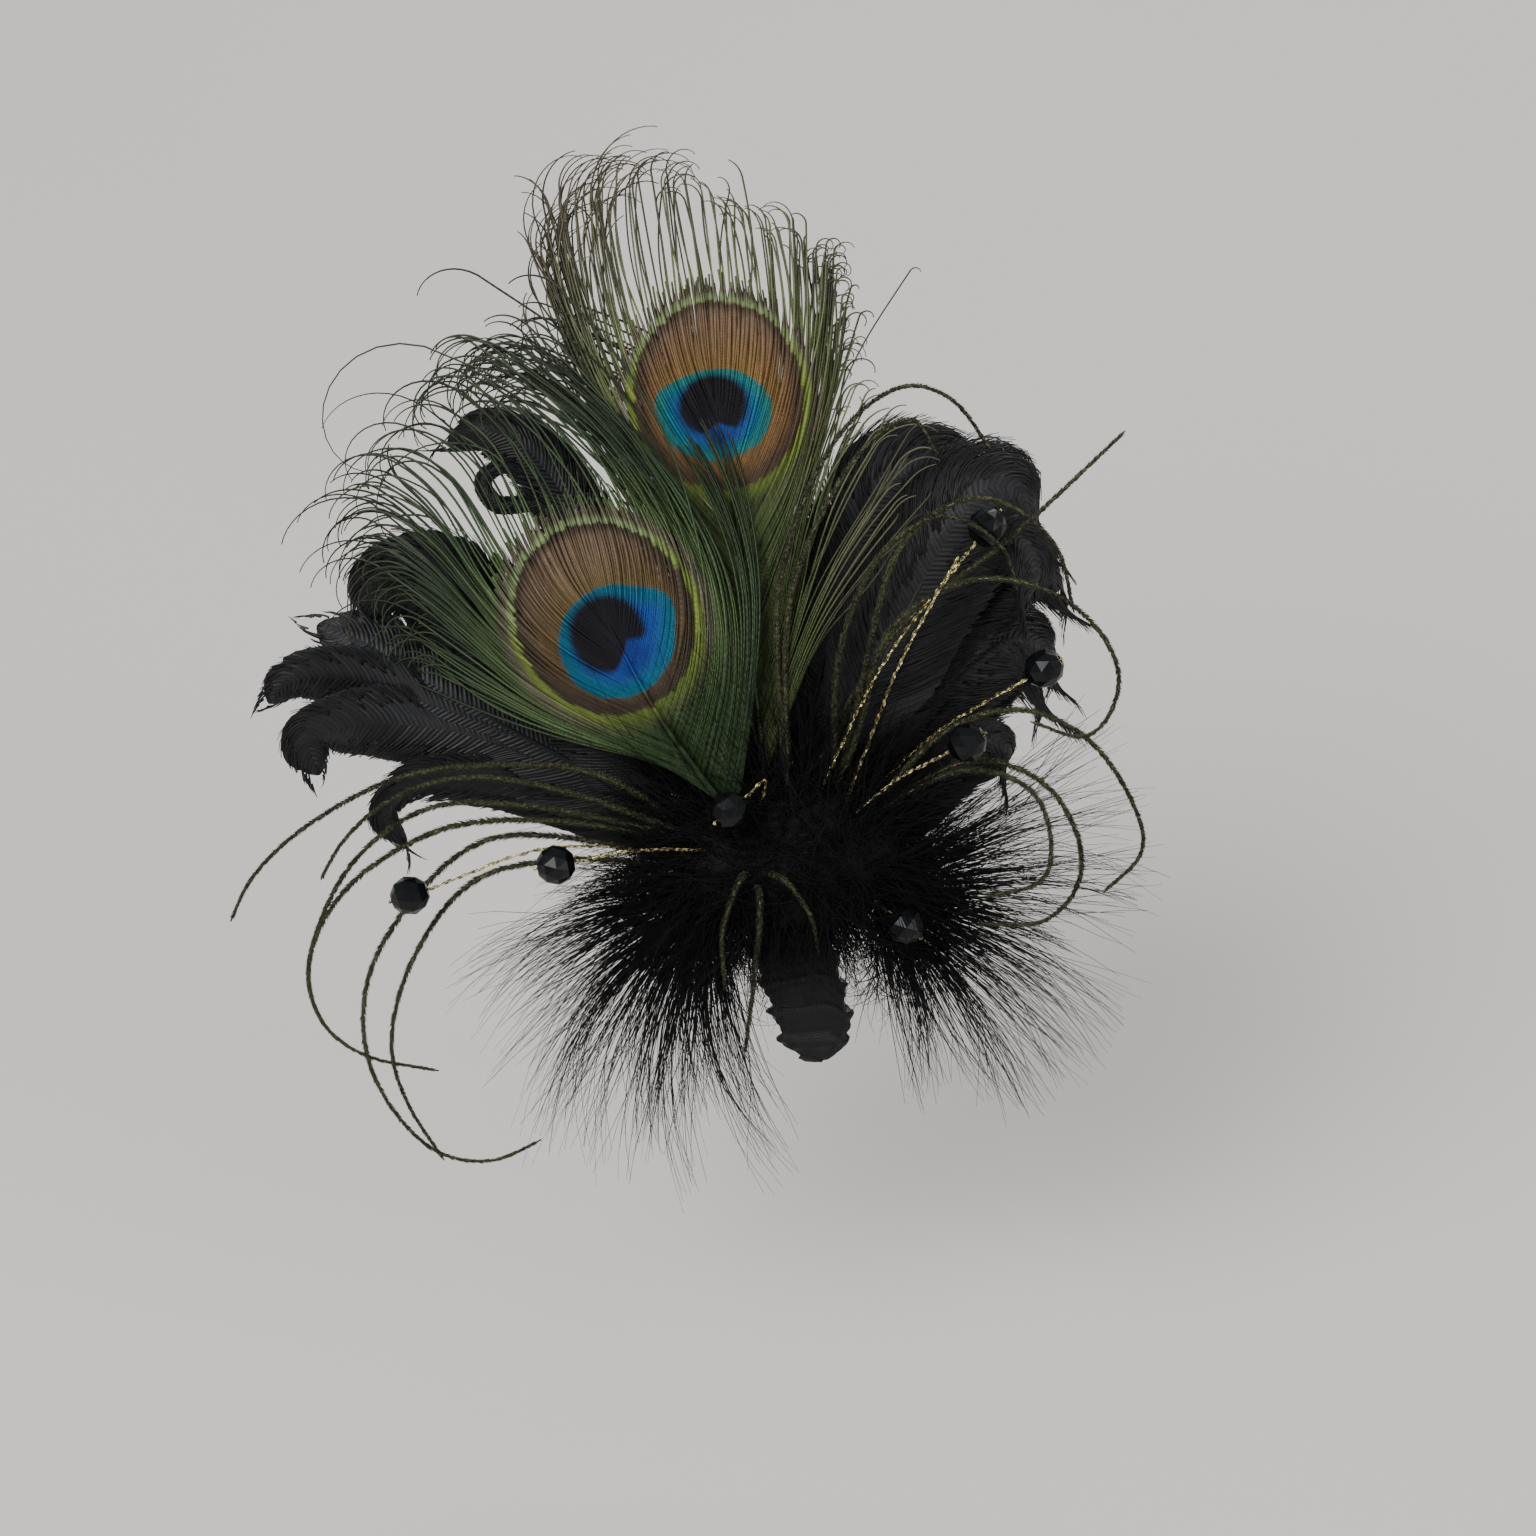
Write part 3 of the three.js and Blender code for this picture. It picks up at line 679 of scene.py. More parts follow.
@dataclass(frozen=True)
class EyeFinish(Finish):
    """Peacock barbs: the eye's rings by place, and the fringe by the way out from them.

    Places are millimetres across and along the feather from the middle of its dark centre. bronze, ring
    and dark are half sizes, and corner is the bearing in degrees to which the blue ring is drawn out. wedge
    is how far across the blue wedge in the dark stands, how high it reaches, and how fast it opens. Tones
    in a row run outwards, and high and low ones belong to the feather's tip and root.
    """

    bronze: Flat = (16.9, 18.7)
    bronze_at: Flat = (1.3, 1.8)
    ring: Flat = (11.3, 9.2)
    ring_at: Flat = (0.2, -1.9)
    dark: Flat = (6.6, 5.8)
    wedge: tuple[float, float, float] = (0.4, -2.0, 0.75)
    corner: float = 153.0
    ring_tones: tuple[Colour, Colour] = ((0.008, 0.15, 0.15), (0.006, 0.06, 0.24))
    bronze_tones: tuple[Colour, Colour, Colour] = (
        (0.20, 0.115, 0.030), (0.15, 0.080, 0.028), (0.058, 0.036, 0.020))
    fringe: tuple[Colour, Colour, Colour] = (
        (0.120, 0.145, 0.055), (0.100, 0.108, 0.058), (0.090, 0.076, 0.046))
    below: Colour = (0.032, 0.056, 0.012)
    bronze_high: Colour = (0.185, 0.125, 0.080)
    wedge_blue: Colour = (0.006, 0.024, 0.16)
    centre: Colour = (0.0040, 0.0035, 0.0070)
    lime_low: Colour = (0.15, 0.20, 0.028)
    lime_high: Colour = (0.17, 0.22, 0.095)
    border: Colour = (0.10, 0.085, 0.055)

    def mixed(self, nodes: Nodes) -> bpy.types.Material:
        """Build the material.

        Args:
            nodes: its tree, which has only the shader yet.

        Returns:
            The material.
        """
        across, up = nodes.value("eye_x"), nodes.value("eye_y")
        tone, along = nodes.value("tone"), nodes.value("along")
        place = nodes.point(across, up)
        coarse, fine = nodes.noise(0.22, 2.0, place), nodes.noise(2.1, 1.0, place)
        wobble = (coarse - 0.5) * 0.08 + (fine - 0.5) * 0.04 + (tone - 0.5) * 0.03

        def oval(half: Flat, at: Flat) -> Signal:
            """Measure how far out a place is, where 1 is the oval's edge."""
            x, y = (across - at[0]) / half[0], (up - at[1]) / half[1]
            return (x * x + y * y) ** 0.5 + wobble

        out = oval(self.bronze, self.bronze_at)
        turn = math.radians(self.corner)
        x, y = across - self.ring_at[0], up - self.ring_at[1]
        towards = (x * math.cos(turn) + y * math.sin(turn)) / ((x * x + y * y) ** 0.5 + 0.01)
        ring = oval(self.ring, self.ring_at) - towards.most(0.0) ** 14.0 * 0.16
        at, reach, opening = self.wedge
        beside = (across - at).size() + (up - reach) * opening
        wedge = 1.0 - beside.eased(-2.8, 1.9)
        core = oval(self.dark, (0.0, 0.0))
        dark = core + wedge * 0.62
        high = up.eased(3.0, 18.0)
        inner, middle, outer = self.bronze_tones
        bronze = nodes.ramp(out, (0.0, inner), (0.5, inner), (0.78, middle), (0.93, outer), (1.0, outer))
        bronze = nodes.mix(high * (1.0 - out.eased(0.86, 1.0)) * 0.6, bronze, self.bronze_high)
        blue = nodes.mix(ring.eased(0.50, 0.92), self.ring_tones[1], self.ring_tones[0])
        blue = nodes.mix(wedge * (1.0 - core.eased(1.0, 1.55)) * 0.85, blue, self.wedge_blue)
        eye = nodes.mix(ring.eased(0.95, 1.01), blue, bronze)
        eye = nodes.mix(1.0 - dark.eased(0.90, 1.20), eye, self.centre)
        spread = (out - 1.0) / 2.2
        lime = nodes.mix(high, self.lime_low, self.lime_high)
        first, second, last = self.fringe
        fringe = nodes.ramp(spread, (0.0, first), (0.06, self.border), (0.12, first), (0.3, second),
                            (0.8, last), (1.0, last))
        low = (1.0 - up.eased(-27.0, -3.0)) * (1.0 - across.eased(11.0, 24.0) * 0.75)
        fringe = nodes.mix(1.0 - spread.eased(0.015, low * 0.08 + 0.055), fringe, lime)
        fringe = nodes.mix(low * 0.8, fringe, self.below)
        colour = nodes.mix(out.eased(0.985, 1.02), eye, fringe)
        grain = nodes.noise(1100.0, 2.0)
        streak = nodes.noise(1.3, 2.0, nodes.point(across * 1.6, up * 0.25))
        outside = out.eased(1.0, 1.2)
        uneven = (tone - 0.5) * (0.3 + outside * 0.8) + grain * 0.45 + (streak - 0.5) * (0.6 + low * 1.2)
        colour = nodes.scaled(colour, uneven + 0.75)
        nodes.bump((along * 700.0).sine() * 0.4 + grain, 0.35, 0.0002)
        return nodes.finished(
            Base_Color=colour,
            Metallic=0.18 + outside * 0.12,
            Roughness=0.52 - outside * 0.12 + (grain - 0.5) * 0.2,
            Specular_IOR_Level=0.3,
        )


@dataclass(frozen=True)
class BlackFeatherFinish(Finish):
    """Dyed black barbs with a soft cool sheen, painted into the colour, that differs from barb to barb.

    The paler of the two colours is painted sheen, laid in cloudy patches and along single barbs. rough is
    the sheen's softness, and line how strongly the painted sheen picks out single barbs. ribbed says that
    the mesh numbers its barbs.
    """

    colour: Colour = (0.0022, 0.0022, 0.0026)
    # colour of the painted sheen, which lightens the black in patches and along barbs
    painted_sheen: Colour = (0.0085, 0.0088, 0.0105)
    rough: float = 0.44
    shine: float = 0.3
    ribbed: bool = False
    line: float = 0.35

    def mixed(self, nodes: Nodes) -> bpy.types.Material:
        """Build the material.

        Args:
            nodes: its tree, which has only the shader yet.

        Returns:
            The material.
        """
        tone, along = nodes.value("tone"), nodes.value("along")
        cloud = nodes.noise(110.0, 3.0)
        fine = nodes.noise(2600.0, 2.0)
        lines = (along * 240.0).sine() * 0.3
        if self.ribbed:
            barb = nodes.value("barb")
            lines = (barb * math.tau).sine() * 0.5 + (barb * (math.tau * 0.37)).sine() * 0.35
        # painted sheen: cloud noise and barb lines lighten the colour towards the painted sheen colour, with
        # some tone that differs at random from strand to strand
        share = (tone * 0.5 + cloud * 0.8 - 0.15 + lines * self.line).eased(0.15, 1.0)
        nodes.bump(fine * 0.6 + lines, 0.45, 0.00022)
        return nodes.finished(
            Base_Color=nodes.mix(share, self.colour, self.painted_sheen),
            Roughness=self.rough + (cloud - 0.5) * 0.25 + (fine - 0.5) * 0.15,
            Specular_IOR_Level=self.shine,
            Sheen_Weight=0.02,
        )


@dataclass(frozen=True)
class HerlFinish(Finish):
    """Peacock herl: olive in short lengths, with glints painted in gold flecks, most on the stem and at the
    barbules' roots.
    """

    dull: Colour = (0.014, 0.013, 0.010)
    green: Colour = (0.036, 0.046, 0.018)
    # colour of the glints painted in flecks
    gold: Colour = (0.26, 0.25, 0.12)

    def mixed(self, nodes: Nodes) -> bpy.types.Material:
        """Build the material.

        Args:
            nodes: its tree, which has only the shader yet.

        Returns:
            The material.
        """
        tone, along = nodes.value("tone"), nodes.value("along")
        core = nodes.value("core")
        cloud = nodes.noise(90.0, 2.0)
        fleck = nodes.noise(1700.0, 3.0)
        colour = nodes.mix((cloud + tone * 0.25).eased(0.45, 0.8), self.dull, self.green)
        # painted glints: gold flecks, strongest on the stem and at the barbules' roots
        colour = nodes.mix(fleck.eased(0.40, 0.68) * (0.06 + core * 0.42), colour, self.gold)
        nodes.bump(fleck + (along * 12.0).sine() * 0.2, 0.4, 0.0002)
        return nodes.finished(
            Base_Color=colour,
            Metallic=0.3 + fleck * 0.3,
            Roughness=0.52 - fleck * 0.25,
            Specular_IOR_Level=0.4,
        )


@dataclass(frozen=True)
class GoldFinish(Finish):
    """Metallic thread: warm gold, with glints and the shade between them painted into the colour in noise
    patches.
    """

    # painted glint colour, and below it the painted shade between glints, mixed by noise
    painted_glint: Colour = (0.72, 0.62, 0.27)
    painted_light: Colour = (0.12, 0.098, 0.045)

    def mixed(self, nodes: Nodes) -> bpy.types.Material:
        """Build the material.

        Args:
            nodes: its tree, which has only the shader yet.

        Returns:
            The material.
        """
        cloud = nodes.noise(900.0, 3.0)
        fine = nodes.noise(5200.0, 1.0)
        nodes.bump(fine, 0.4, 0.0001)
        # noise patches paint glints and dark shade into the colour
        return nodes.finished(
            Base_Color=nodes.mix(cloud.eased(0.40, 0.58), self.painted_light, self.painted_glint),
            Metallic=0.92,
            Roughness=0.10 + cloud * 0.2,
        )


@dataclass(frozen=True)
class RibbonFinish(Finish):
    """Black ribbon with a fine cross weave, with a grey highlight painted along its folded edges."""

    colour: Colour = (0.0015, 0.0015, 0.0018)
    # colour of the highlight painted along the folded edges
    edge: Colour = (0.012, 0.012, 0.0135)
    weave: float = 2.6

    def mixed(self, nodes: Nodes) -> bpy.types.Material:
        """Build the material.

        Args:
            nodes: its tree, which has only the shader yet.

        Returns:
            The material.
        """
        warp, weft = nodes.value("along_mm"), nodes.value("round_mm")
        rib = (warp * (self.weave * math.tau)).sine() * 0.5 + (weft * (self.weave * math.tau)).sine() * 0.5
        # painted highlight: strongest at the lapped edge of each turn, with some cloud noise
        painted_light = nodes.value("fold").eased(0.55, 1.0)
        cloud = nodes.noise(240.0, 3.0)
        nodes.bump(rib * 0.5 + cloud * 0.8, 0.5, 0.00018)
        return nodes.finished(
            Base_Color=nodes.mix(painted_light * 0.7 + cloud * 0.2, self.colour, self.edge),
            Roughness=0.4 + (cloud - 0.5) * 0.3 + rib * 0.08,
            Specular_IOR_Level=0.26,
            Sheen_Weight=0.02,
        )


@dataclass(frozen=True)
class BeadFinish(Finish):
    """Black pressed glass, fire polished, with slight waves in its facets."""

    colour: Colour = (0.0015, 0.0015, 0.002)
    cool: Colour = (0.0045, 0.005, 0.006)

    def mixed(self, nodes: Nodes) -> bpy.types.Material:
        """Build the material.

        Args:
            nodes: its tree, which has only the shader yet.

        Returns:
            The material.
        """
        cloud = nodes.noise(260.0, 2.0)
        nodes.bump(cloud, 0.12, 0.0002)
        return nodes.finished(
            Base_Color=nodes.mix(cloud, self.colour, self.cool),
            Roughness=0.14 + cloud * 0.16,
            Specular_IOR_Level=0.22,
        )


@dataclass(frozen=True)
class EnamelFinish(Finish):
    """Black enamelled spring steel, rubbed brighter in places."""

    enamel: Colour = (0.012, 0.012, 0.013)
    steel: Colour = (0.12, 0.12, 0.125)

    def mixed(self, nodes: Nodes) -> bpy.types.Material:
        """Build the material.

        Args:
            nodes: its tree, which has only the shader yet.

        Returns:
            The material.
        """
        rubbed = nodes.noise(420.0, 5.0).eased(0.66, 0.80)
        return nodes.finished(
            Base_Color=nodes.mix(rubbed, self.enamel, self.steel),
            Metallic=rubbed * 0.9,
            Roughness=0.32 + nodes.noise(150.0) * 0.2,
        )


@dataclass(frozen=True)
class GroundFinish(Finish):
    """A plain pale floor with a faint mottle."""

    colour: Colour = (0.60, 0.575, 0.54)
    light: Colour = (0.66, 0.635, 0.60)

    def mixed(self, nodes: Nodes) -> bpy.types.Material:
        """Build the material in a tree that has only the shader yet."""
        mottle = nodes.mix(nodes.noise(1.5, 2.0), self.colour, self.light)
        return nodes.finished(Base_Color=mottle, Roughness=0.9)


GOOSE = BlackFeatherFinish("goose_black", ribbed=True)
# the second colour of each black finish here is painted sheen
HACKLE = BlackFeatherFinish(
    "goose_black_loose", ribbed=True, painted_sheen=(0.0125, 0.0125, 0.0145), rough=0.5, line=0.8)
DOWN = BlackFeatherFinish(
    "marabou_black", colour=(0.0009, 0.0009, 0.0011), painted_sheen=(0.0050, 0.0052, 0.0068), rough=0.55, shine=0.1)
HERL = HerlFinish("herl_olive")
GOLD = GoldFinish("tinsel_gold")
RIBBON = RibbonFinish("ribbon_black")
BEAD = BeadFinish("bead_black_glass")
ENAMEL = EnamelFinish("clip_enamel")
GROUND = GroundFinish("ground_pale")


@dataclass
class Piece:
    """One visible piece, which stands for a solid of the frame."""

    node: str
    finish: Finish = field(default=GOOSE, kw_only=True)

    slot_name: ClassVar[str] = "goose"

    def skins(self) -> list[Skin]:
        """Return the piece's skins."""
        raise NotImplementedError

    def flat_map(self, skin: Skin) -> Skin:
        """Return the skin with the map that suits the piece."""
        return skin

    def build(self) -> None:
        """Make the piece, hand it its solid's place and report it."""
        skin = self.flat_map(Skin.joined(self.skins()))
        piece = skin.built("look_" + self.node, self.finish)
        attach(piece, "root")
        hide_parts(self.node)
        LOG.info("%s: %d triangles", piece.name, 2 * len(skin.quads) + len(skin.caps))


@dataclass
class Barb:
    """A row of a peacock feather's table: one barb, between which and the next others are placed.

    leaves is its root's share of the shaft. The next four are places that it passes, across and up. curl
    is how far its end curls, in degrees anticlockwise, radius is the curl's own, and rise is how far its
    end stands higher than the others.
    """

    leaves: float
    by: Flat
    mid: Flat
    crest: Flat
    tip: Flat
    curl: float
    radius: float
    rise: float = 0.0

    def numbers(self) -> list[float]:
        """Return every number that is mixed between two rows."""
        return [*self.by, *self.mid, *self.crest, *self.tip, self.curl, self.radius, self.rise]


@dataclass
class EyeFeather(Piece):
    """A peacock eye feather: shaft, close barbs over the eye, and a loose curled fringe.

    eye is the middle of its dark centre, and lean how far the feather leans to the left there, in degrees.
    bulge and fall are how far a barb stands out at its middle and sinks in at its end. spacing is from one
    root to the next. fringe_gap is how far apart barbs stay whole past the eye, and fringe_half their
    greatest half width there. quill is the shaft's half width at its root and tip.
    """

    shaft: Places
    left: tuple[Barb, ...]
    right: tuple[Barb, ...]
    eye: Flat
    lean: float
    bulge: float = 2.5
    fall: float = 5.0
    spacing: float = 0.46
    fringe_gap: float = 0.86
    fringe_half: float = 0.19
    quill: Flat = (0.95, 0.28)
    map_side: float = 135.0
    seed: int = 1

    slot_name: ClassVar[str] = "peacock"

    def from_eye(self, places: np.ndarray) -> tuple[np.ndarray, np.ndarray]:
        """Measure places from the middle of the dark centre.

        Args:
            places: places on the seat.

        Returns:
            How far they are across and along the feather.
        """
        turn = math.radians(self.lean)
        x, y = places[..., 0] - self.eye[0], places[..., 1] - self.eye[1]
        return x * math.cos(turn) + y * math.sin(turn), y * math.cos(turn) - x * math.sin(turn)

    def outward(self, places: np.ndarray) -> np.ndarray:
        """Measure how far out places are.

        Args:
            places: places on the seat.

        Returns:
            Shares of the way out, where 1 is the edge of the bronze oval.
        """
        x, y = self.from_eye(places)
        (half_x, half_y), (at_x, at_y) = self.finish.bronze, self.finish.bronze_at
        return np.hypot((x - at_x) / half_x, (y - at_y) / half_y)

    def barbs(self, rows: tuple[Barb, ...], rng: np.random.Generator) -> Skin:
        """Place the barbs of one side between the rows of its table.

        Args:
            rows: the table, from the root of the feather to its end.
            rng: the feather's own random numbers.

        Returns:
            The barbs as one skin.
        """
        shaft = through(np.array([self.shaft]), 201)[0]
        length = np.linalg.norm(np.diff(shaft, axis=0), axis=-1).sum()
        leaves = np.array([row.leaves for row in rows])
        table = np.array([row.numbers() for row in rows])
        count = int((leaves[-1] - leaves[0]) * length / self.spacing)
        at = np.linspace(leaves[0], leaves[-1], count)
        mixed = np.stack([np.interp(at, leaves, column) for column in table.T], axis=-1)
        flat = mixed[:, :8].reshape(count, 4, 2)
        apart = np.linalg.norm(np.diff(flat[:, 2], axis=0, prepend=flat[:1, 2]), axis=-1)
        kept = np.diff(np.floor(np.cumsum(apart) / self.fringe_gap), prepend=-1.0) >= 1
        reach = np.linalg.norm(flat[:, -1] - flat[:, 0], axis=-1)[:, None, None]
        stray = np.where(rng.random((count, 1, 1)) < 0.1, 2.6, 1.0)
        loose = np.array([0.0, 0.006, 0.020, 0.036])[None, :, None]
        drift = rng.normal(size=(count, 1, 2)) + 0.5 * rng.normal(size=(count, 4, 2))
        flat = flat + drift * loose * reach * stray
        root = np.stack([np.interp(at * 200, np.arange(201), shaft[:, k]) for k in range(3)], axis=-1)
        share = np.array([0.25, 0.5, 0.75, 1.0])
        lift = rng.normal(0.0, 0.16, (count, 1)) + rng.normal(0.0, 1.0, (count, 1)) * share ** 3
        lift = lift + mixed[:, 10:] * share
        out = root[:, 2:] + self.bulge * np.sin(math.pi * share) - self.fall * share ** 2 + lift
        controls = np.concatenate([root[:, None], np.concatenate([flat, out[..., None]], axis=-1)], axis=1)
        paths = softened(through(controls, 25), 3)
        return self.thickened(paths, kept, mixed[:, 8], mixed[:, 9], rng)

    def thickened(
        self,
        paths: np.ndarray,
        kept: np.ndarray,
        curl: np.ndarray,
        radius: np.ndarray,
        rng: np.random.Generator,
    ) -> Skin:
        """Cut and curl barbs and give them their width.

        Args:
            paths: the barbs in order, each from its root outwards.
            kept: which barbs stay whole, where the others end at the eye's border.
            curl: how far each whole barb's end curls, in degrees.
            radius: the radius of each curl.
            rng: the feather's own random numbers.

        Returns:
            The barbs as one skin.
        """
        count, steps = paths.shape[:2]
        gap = np.diff(paths, axis=0)
        gap = np.concatenate([gap, gap[-1:]])
        ahead = unit(np.gradient(paths, axis=1))
        gap = np.linalg.norm(gap - ahead * np.sum(gap * ahead, axis=-1, keepdims=True), axis=-1)
        past = self.outward(paths) > rng.uniform(1.08, 1.3, size=(count, 1))
        last = np.argmax(past, axis=1)
        short = ~kept & ~past[:, 3] & (last > 4)
        end = np.where(short, last, (steps - 1) * rng.uniform(0.9, 1.0, count))
        where = np.linspace(0.0, 1.0, steps) * end[:, None]
        steady = np.arange(steps)
        gap = np.stack([np.interp(row, steady, wide) for row, wide in zip(where, gap)])
        paths = np.stack([
            np.stack([np.interp(row, steady, path[:, k]) for k in range(3)], axis=-1)
            for row, path in zip(where, paths)
        ])
        turn = np.where(short, 0.0, np.radians(curl) * rng.uniform(0.55, 1.25, count))
        odd = rng.random(count)
        turn = np.where(odd < 0.07, -0.6 * turn, turn)
        wide = np.where(odd > 0.9, 1.7, 1.0) * rng.uniform(0.7, 1.3, count)
        paths = hooked(paths, turn, np.where(short, 0.3, radius * wide), 12)
        added = paths.shape[1] - steps
        gap = np.concatenate([gap, np.repeat(gap[:, -1:], added, axis=1)], axis=1)
        along = np.linspace(0.0, 1.0, paths.shape[1])[None]
        bare = smooth_step(self.outward(paths), 0.99, 1.2)
        web = np.clip(0.66 * gap, 0.14, 1.0)
        loose = np.clip(0.5 * gap, 0.16, self.fringe_half) * rng.uniform(0.85, 1.15, (count, 1))
        half = web * (1.0 - bare) + loose * bare
        cut, slim = 0.85 * smooth_step(along, 0.72, 1.0), 0.45 * smooth_step(along, 0.6, 1.0)
        half = half * (1.0 - np.where(short[:, None], cut, slim))
        x, y = self.from_eye(paths)
        return swept(paths, half, Section.BARB, rng.random(count), extra={"eye_x": x, "eye_y": y})

    def skins(self) -> list[Skin]:
        """Make the shaft and the barbs of both sides.

        Returns:
            The three skins.
        """
        rng = np.random.default_rng(self.seed)
        shaft = through(np.array([self.shaft]), 60) + 0.1 * OUT
        half = np.linspace(*self.quill, 60)[None] * np.linspace(1.0, 0.4, 60)[None] ** 0.5
        x, y = self.from_eye(shaft)
        quill = swept(shaft, half, Section.QUILL, np.array([0.02]), extra={"eye_x": x, "eye_y": y})
        return [quill, self.barbs(self.left, rng), self.barbs(self.right, rng)]

    def flat_map(self, skin: Skin) -> Skin:
        """Lay the feather flat on its map, so that the eye's pattern is whole there."""
        return skin.laid_flat(self.map_side)


@dataclass
class Lobe:
    """A broad lock of a goose feather.

    middle is the places along its middle, half its half width, twist how far it rolls over towards its
    end in degrees, ragged how far its loose hairs stand out of its edge in millimetres, and loose how
    many more hairs lie over it.
    """

    middle: Places
    half: float
    twist: float = 0.0
    ragged: float = 1.0
    loose: int = 0


@dataclass
class GooseFeather(Piece):
    """A curled goose feather: close barbs that lie as a satin sheet, with loose hairs along the edge.

    barb is from one barb to the next. A lobe is bare up to about bare_to of its length and has its full
    width at full_at. quill is the quill's half width at its root and tip. droop is how far the edges hang,
    as a share of the half width, and sweep how far forward the barbs lie, as a share of the length. sheet
    is the sheet's half thickness, and ridge how far single barbs stand out of it.
    """

    lobes: tuple[Lobe, ...]
    seed: int = 1
    barb: float = 0.62
    bare_to: float = 0.12
    full_at: float = 0.5
    quill: Flat = (1.0, 0.22)
    droop: float = 0.22
    sweep: float = 0.16
    sheet: float = 0.16
    ridge: float = 0.07

    def width(self, share: np.ndarray, half: float) -> np.ndarray:
        """Return the half width along a lobe.

        Args:
            share: shares of its length.
            half: its greatest half width.

        Returns:
            The half widths there, round at the tip.
        """
        opened = smooth_step(share, self.bare_to * 0.5, self.full_at)
        rounded = np.maximum(0.01, 1 - np.clip(share, 0, 1) ** 7) ** 0.62
        return (self.quill[0] * (1 - opened) + half * opened) * rounded

    def placed(self, lobe: Lobe, share: np.ndarray, side_way: np.ndarray, lift: np.ndarray) -> np.ndarray:
        """Find places on a lobe.

        Args:
            lobe: the lobe.
            share: shares of its length.
            side_way: shares of its half width, negative to the other side.
            lift: millimetres above its surface.

        Returns:
            The places.
        """
        middle = through(np.array([lobe.middle]), FINE)
        across, up = carried_frames(middle)
        roll = np.radians(lobe.twist) * smooth_step(np.linspace(0.0, 1.0, FINE), 0.45, 1.0)[:, None]
        sides = across[0] * np.cos(roll) + up[0] * np.sin(roll)
        tops = up[0] * np.cos(roll) - across[0] * np.sin(roll)
        where = np.clip(share, 0.0, 1.0) * (FINE - 1)
        line, side, top = (
            np.stack([np.interp(where, np.arange(FINE), track[:, k]) for k in range(3)], axis=-1)
            for track in (middle[0], sides, tops)
        )
        width = self.width(share, lobe.half)
        wave = 0.07 * width * np.abs(side_way) * np.sin(11.0 * share + 2.5 * side_way + self.seed)
        bend = lift - self.droop * width * side_way ** 2 + wave
        return line + side * (width * side_way)[..., None] + top * bend[..., None]

    def vane(self, lobe: Lobe, rng: np.random.Generator) -> Skin:
        """Lay the sheet of a lobe, with one row of faces for each barb.

        Args:
            lobe: the lobe.
            rng: the feather's own random numbers, for its split and uneven edges.

        Returns:
            The sheet.
        """
        middle = through(np.array([lobe.middle]), FINE)[0]
        length = np.linalg.norm(np.diff(middle, axis=0), axis=-1).sum()
        rows, sides = int(length / self.barb), 24
        root = np.linspace(0.02, 0.985, rows)[:, None]
        turn = np.linspace(0.0, math.tau, sides, endpoint=False)[None]
        jitter = 0.93 + 0.05 * rng.random((rows, 2))
        for side in range(2):
            for split in rng.uniform(0.3, 0.95, max(2, int(length / 16))):
                deep = rng.uniform(0.08, 0.30)
                jitter[:, side] *= 1.0 - deep * np.exp(-((root[:, 0] - split) * length / 0.8) ** 2)
        reach = np.where(np.cos(turn) > 0, jitter[:, :1], jitter[:, 1:])
        side_way = np.cos(turn) * reach
        share = np.minimum(root + self.sweep * np.abs(side_way) ** 1.25 * (1.2 - root * 0.75), 0.999)
        thick = self.sheet * (1.0 + 1.6 * (1 - np.abs(np.cos(turn))) ** 4)
        ridge = self.ridge * rng.uniform(-1.0, 1.0, (rows, 1)) * smooth_step(np.abs(side_way), 0.05, 0.3)
        places = self.placed(lobe, share, side_way, thick * np.sin(turn) + ridge)
        extra = {"barb": np.broadcast_to(np.arange(rows)[:, None] * 0.55, share.shape)}
        return wrapped(places, extra)

    def hairs(self, lobe: Lobe, side: Side, start: float, count: int, rng: np.random.Generator) -> Skin:
        """Make loose barb ends that lie on a lobe and stand out along one of its edges.

        Args:
            lobe: the lobe.
            side: which side of its middle.
            start: how far out they leave the sheet, as a share of its half width.
            count: how many there are.
            rng: the feather's own random numbers.

        Returns:
            The hairs as one skin.
        """
        length = np.linalg.norm(np.diff(np.array(lobe.middle), axis=0), axis=-1).sum()
        root = np.sort(rng.uniform(0.25, 0.99, count))[:, None]
        share = np.linspace(0.0, 1.0, 6)[None]
        begin = start * rng.uniform(0.6, 1.2, (count, 1))
        ends = rng.uniform(0.15, 1.0, (count, 1)) ** 1.5 * lobe.ragged * smooth_step(root, 0.2, 0.75)
        side_way = begin + (0.96 - begin) * share + (ends / lobe.half) * share ** 1.6
        forward = self.sweep * side_way ** 1.25 * (1.2 - root * 0.75) + ends / length * 1.5 * share
        along = np.minimum(root + forward, 0.94)
        arch = 0.25 * np.sin(math.pi * share)
        lift = self.sheet * 1.3 + arch + rng.normal(0.0, 0.5, (count, 1)) * share ** 2
        paths = self.placed(lobe, along, side.value * side_way, lift)
        spill = np.maximum(root + forward - 0.94, 0.0) * length
        tip = unit(np.array(lobe.middle[-1]) - np.array(lobe.middle[-2]))
        fan = side.value * 0.5 * np.minimum(side_way, 1.2)[..., None] * np.cross(OUT, -tip)
        paths = paths + spill[..., None] * (tip + fan)
        half = 0.22 * (1.0 - 0.75 * share) * np.ones((count, 1))
        return swept(paths, half, Section.BARB, rng.random(count), extra={"barb": np.zeros((count, 6))})

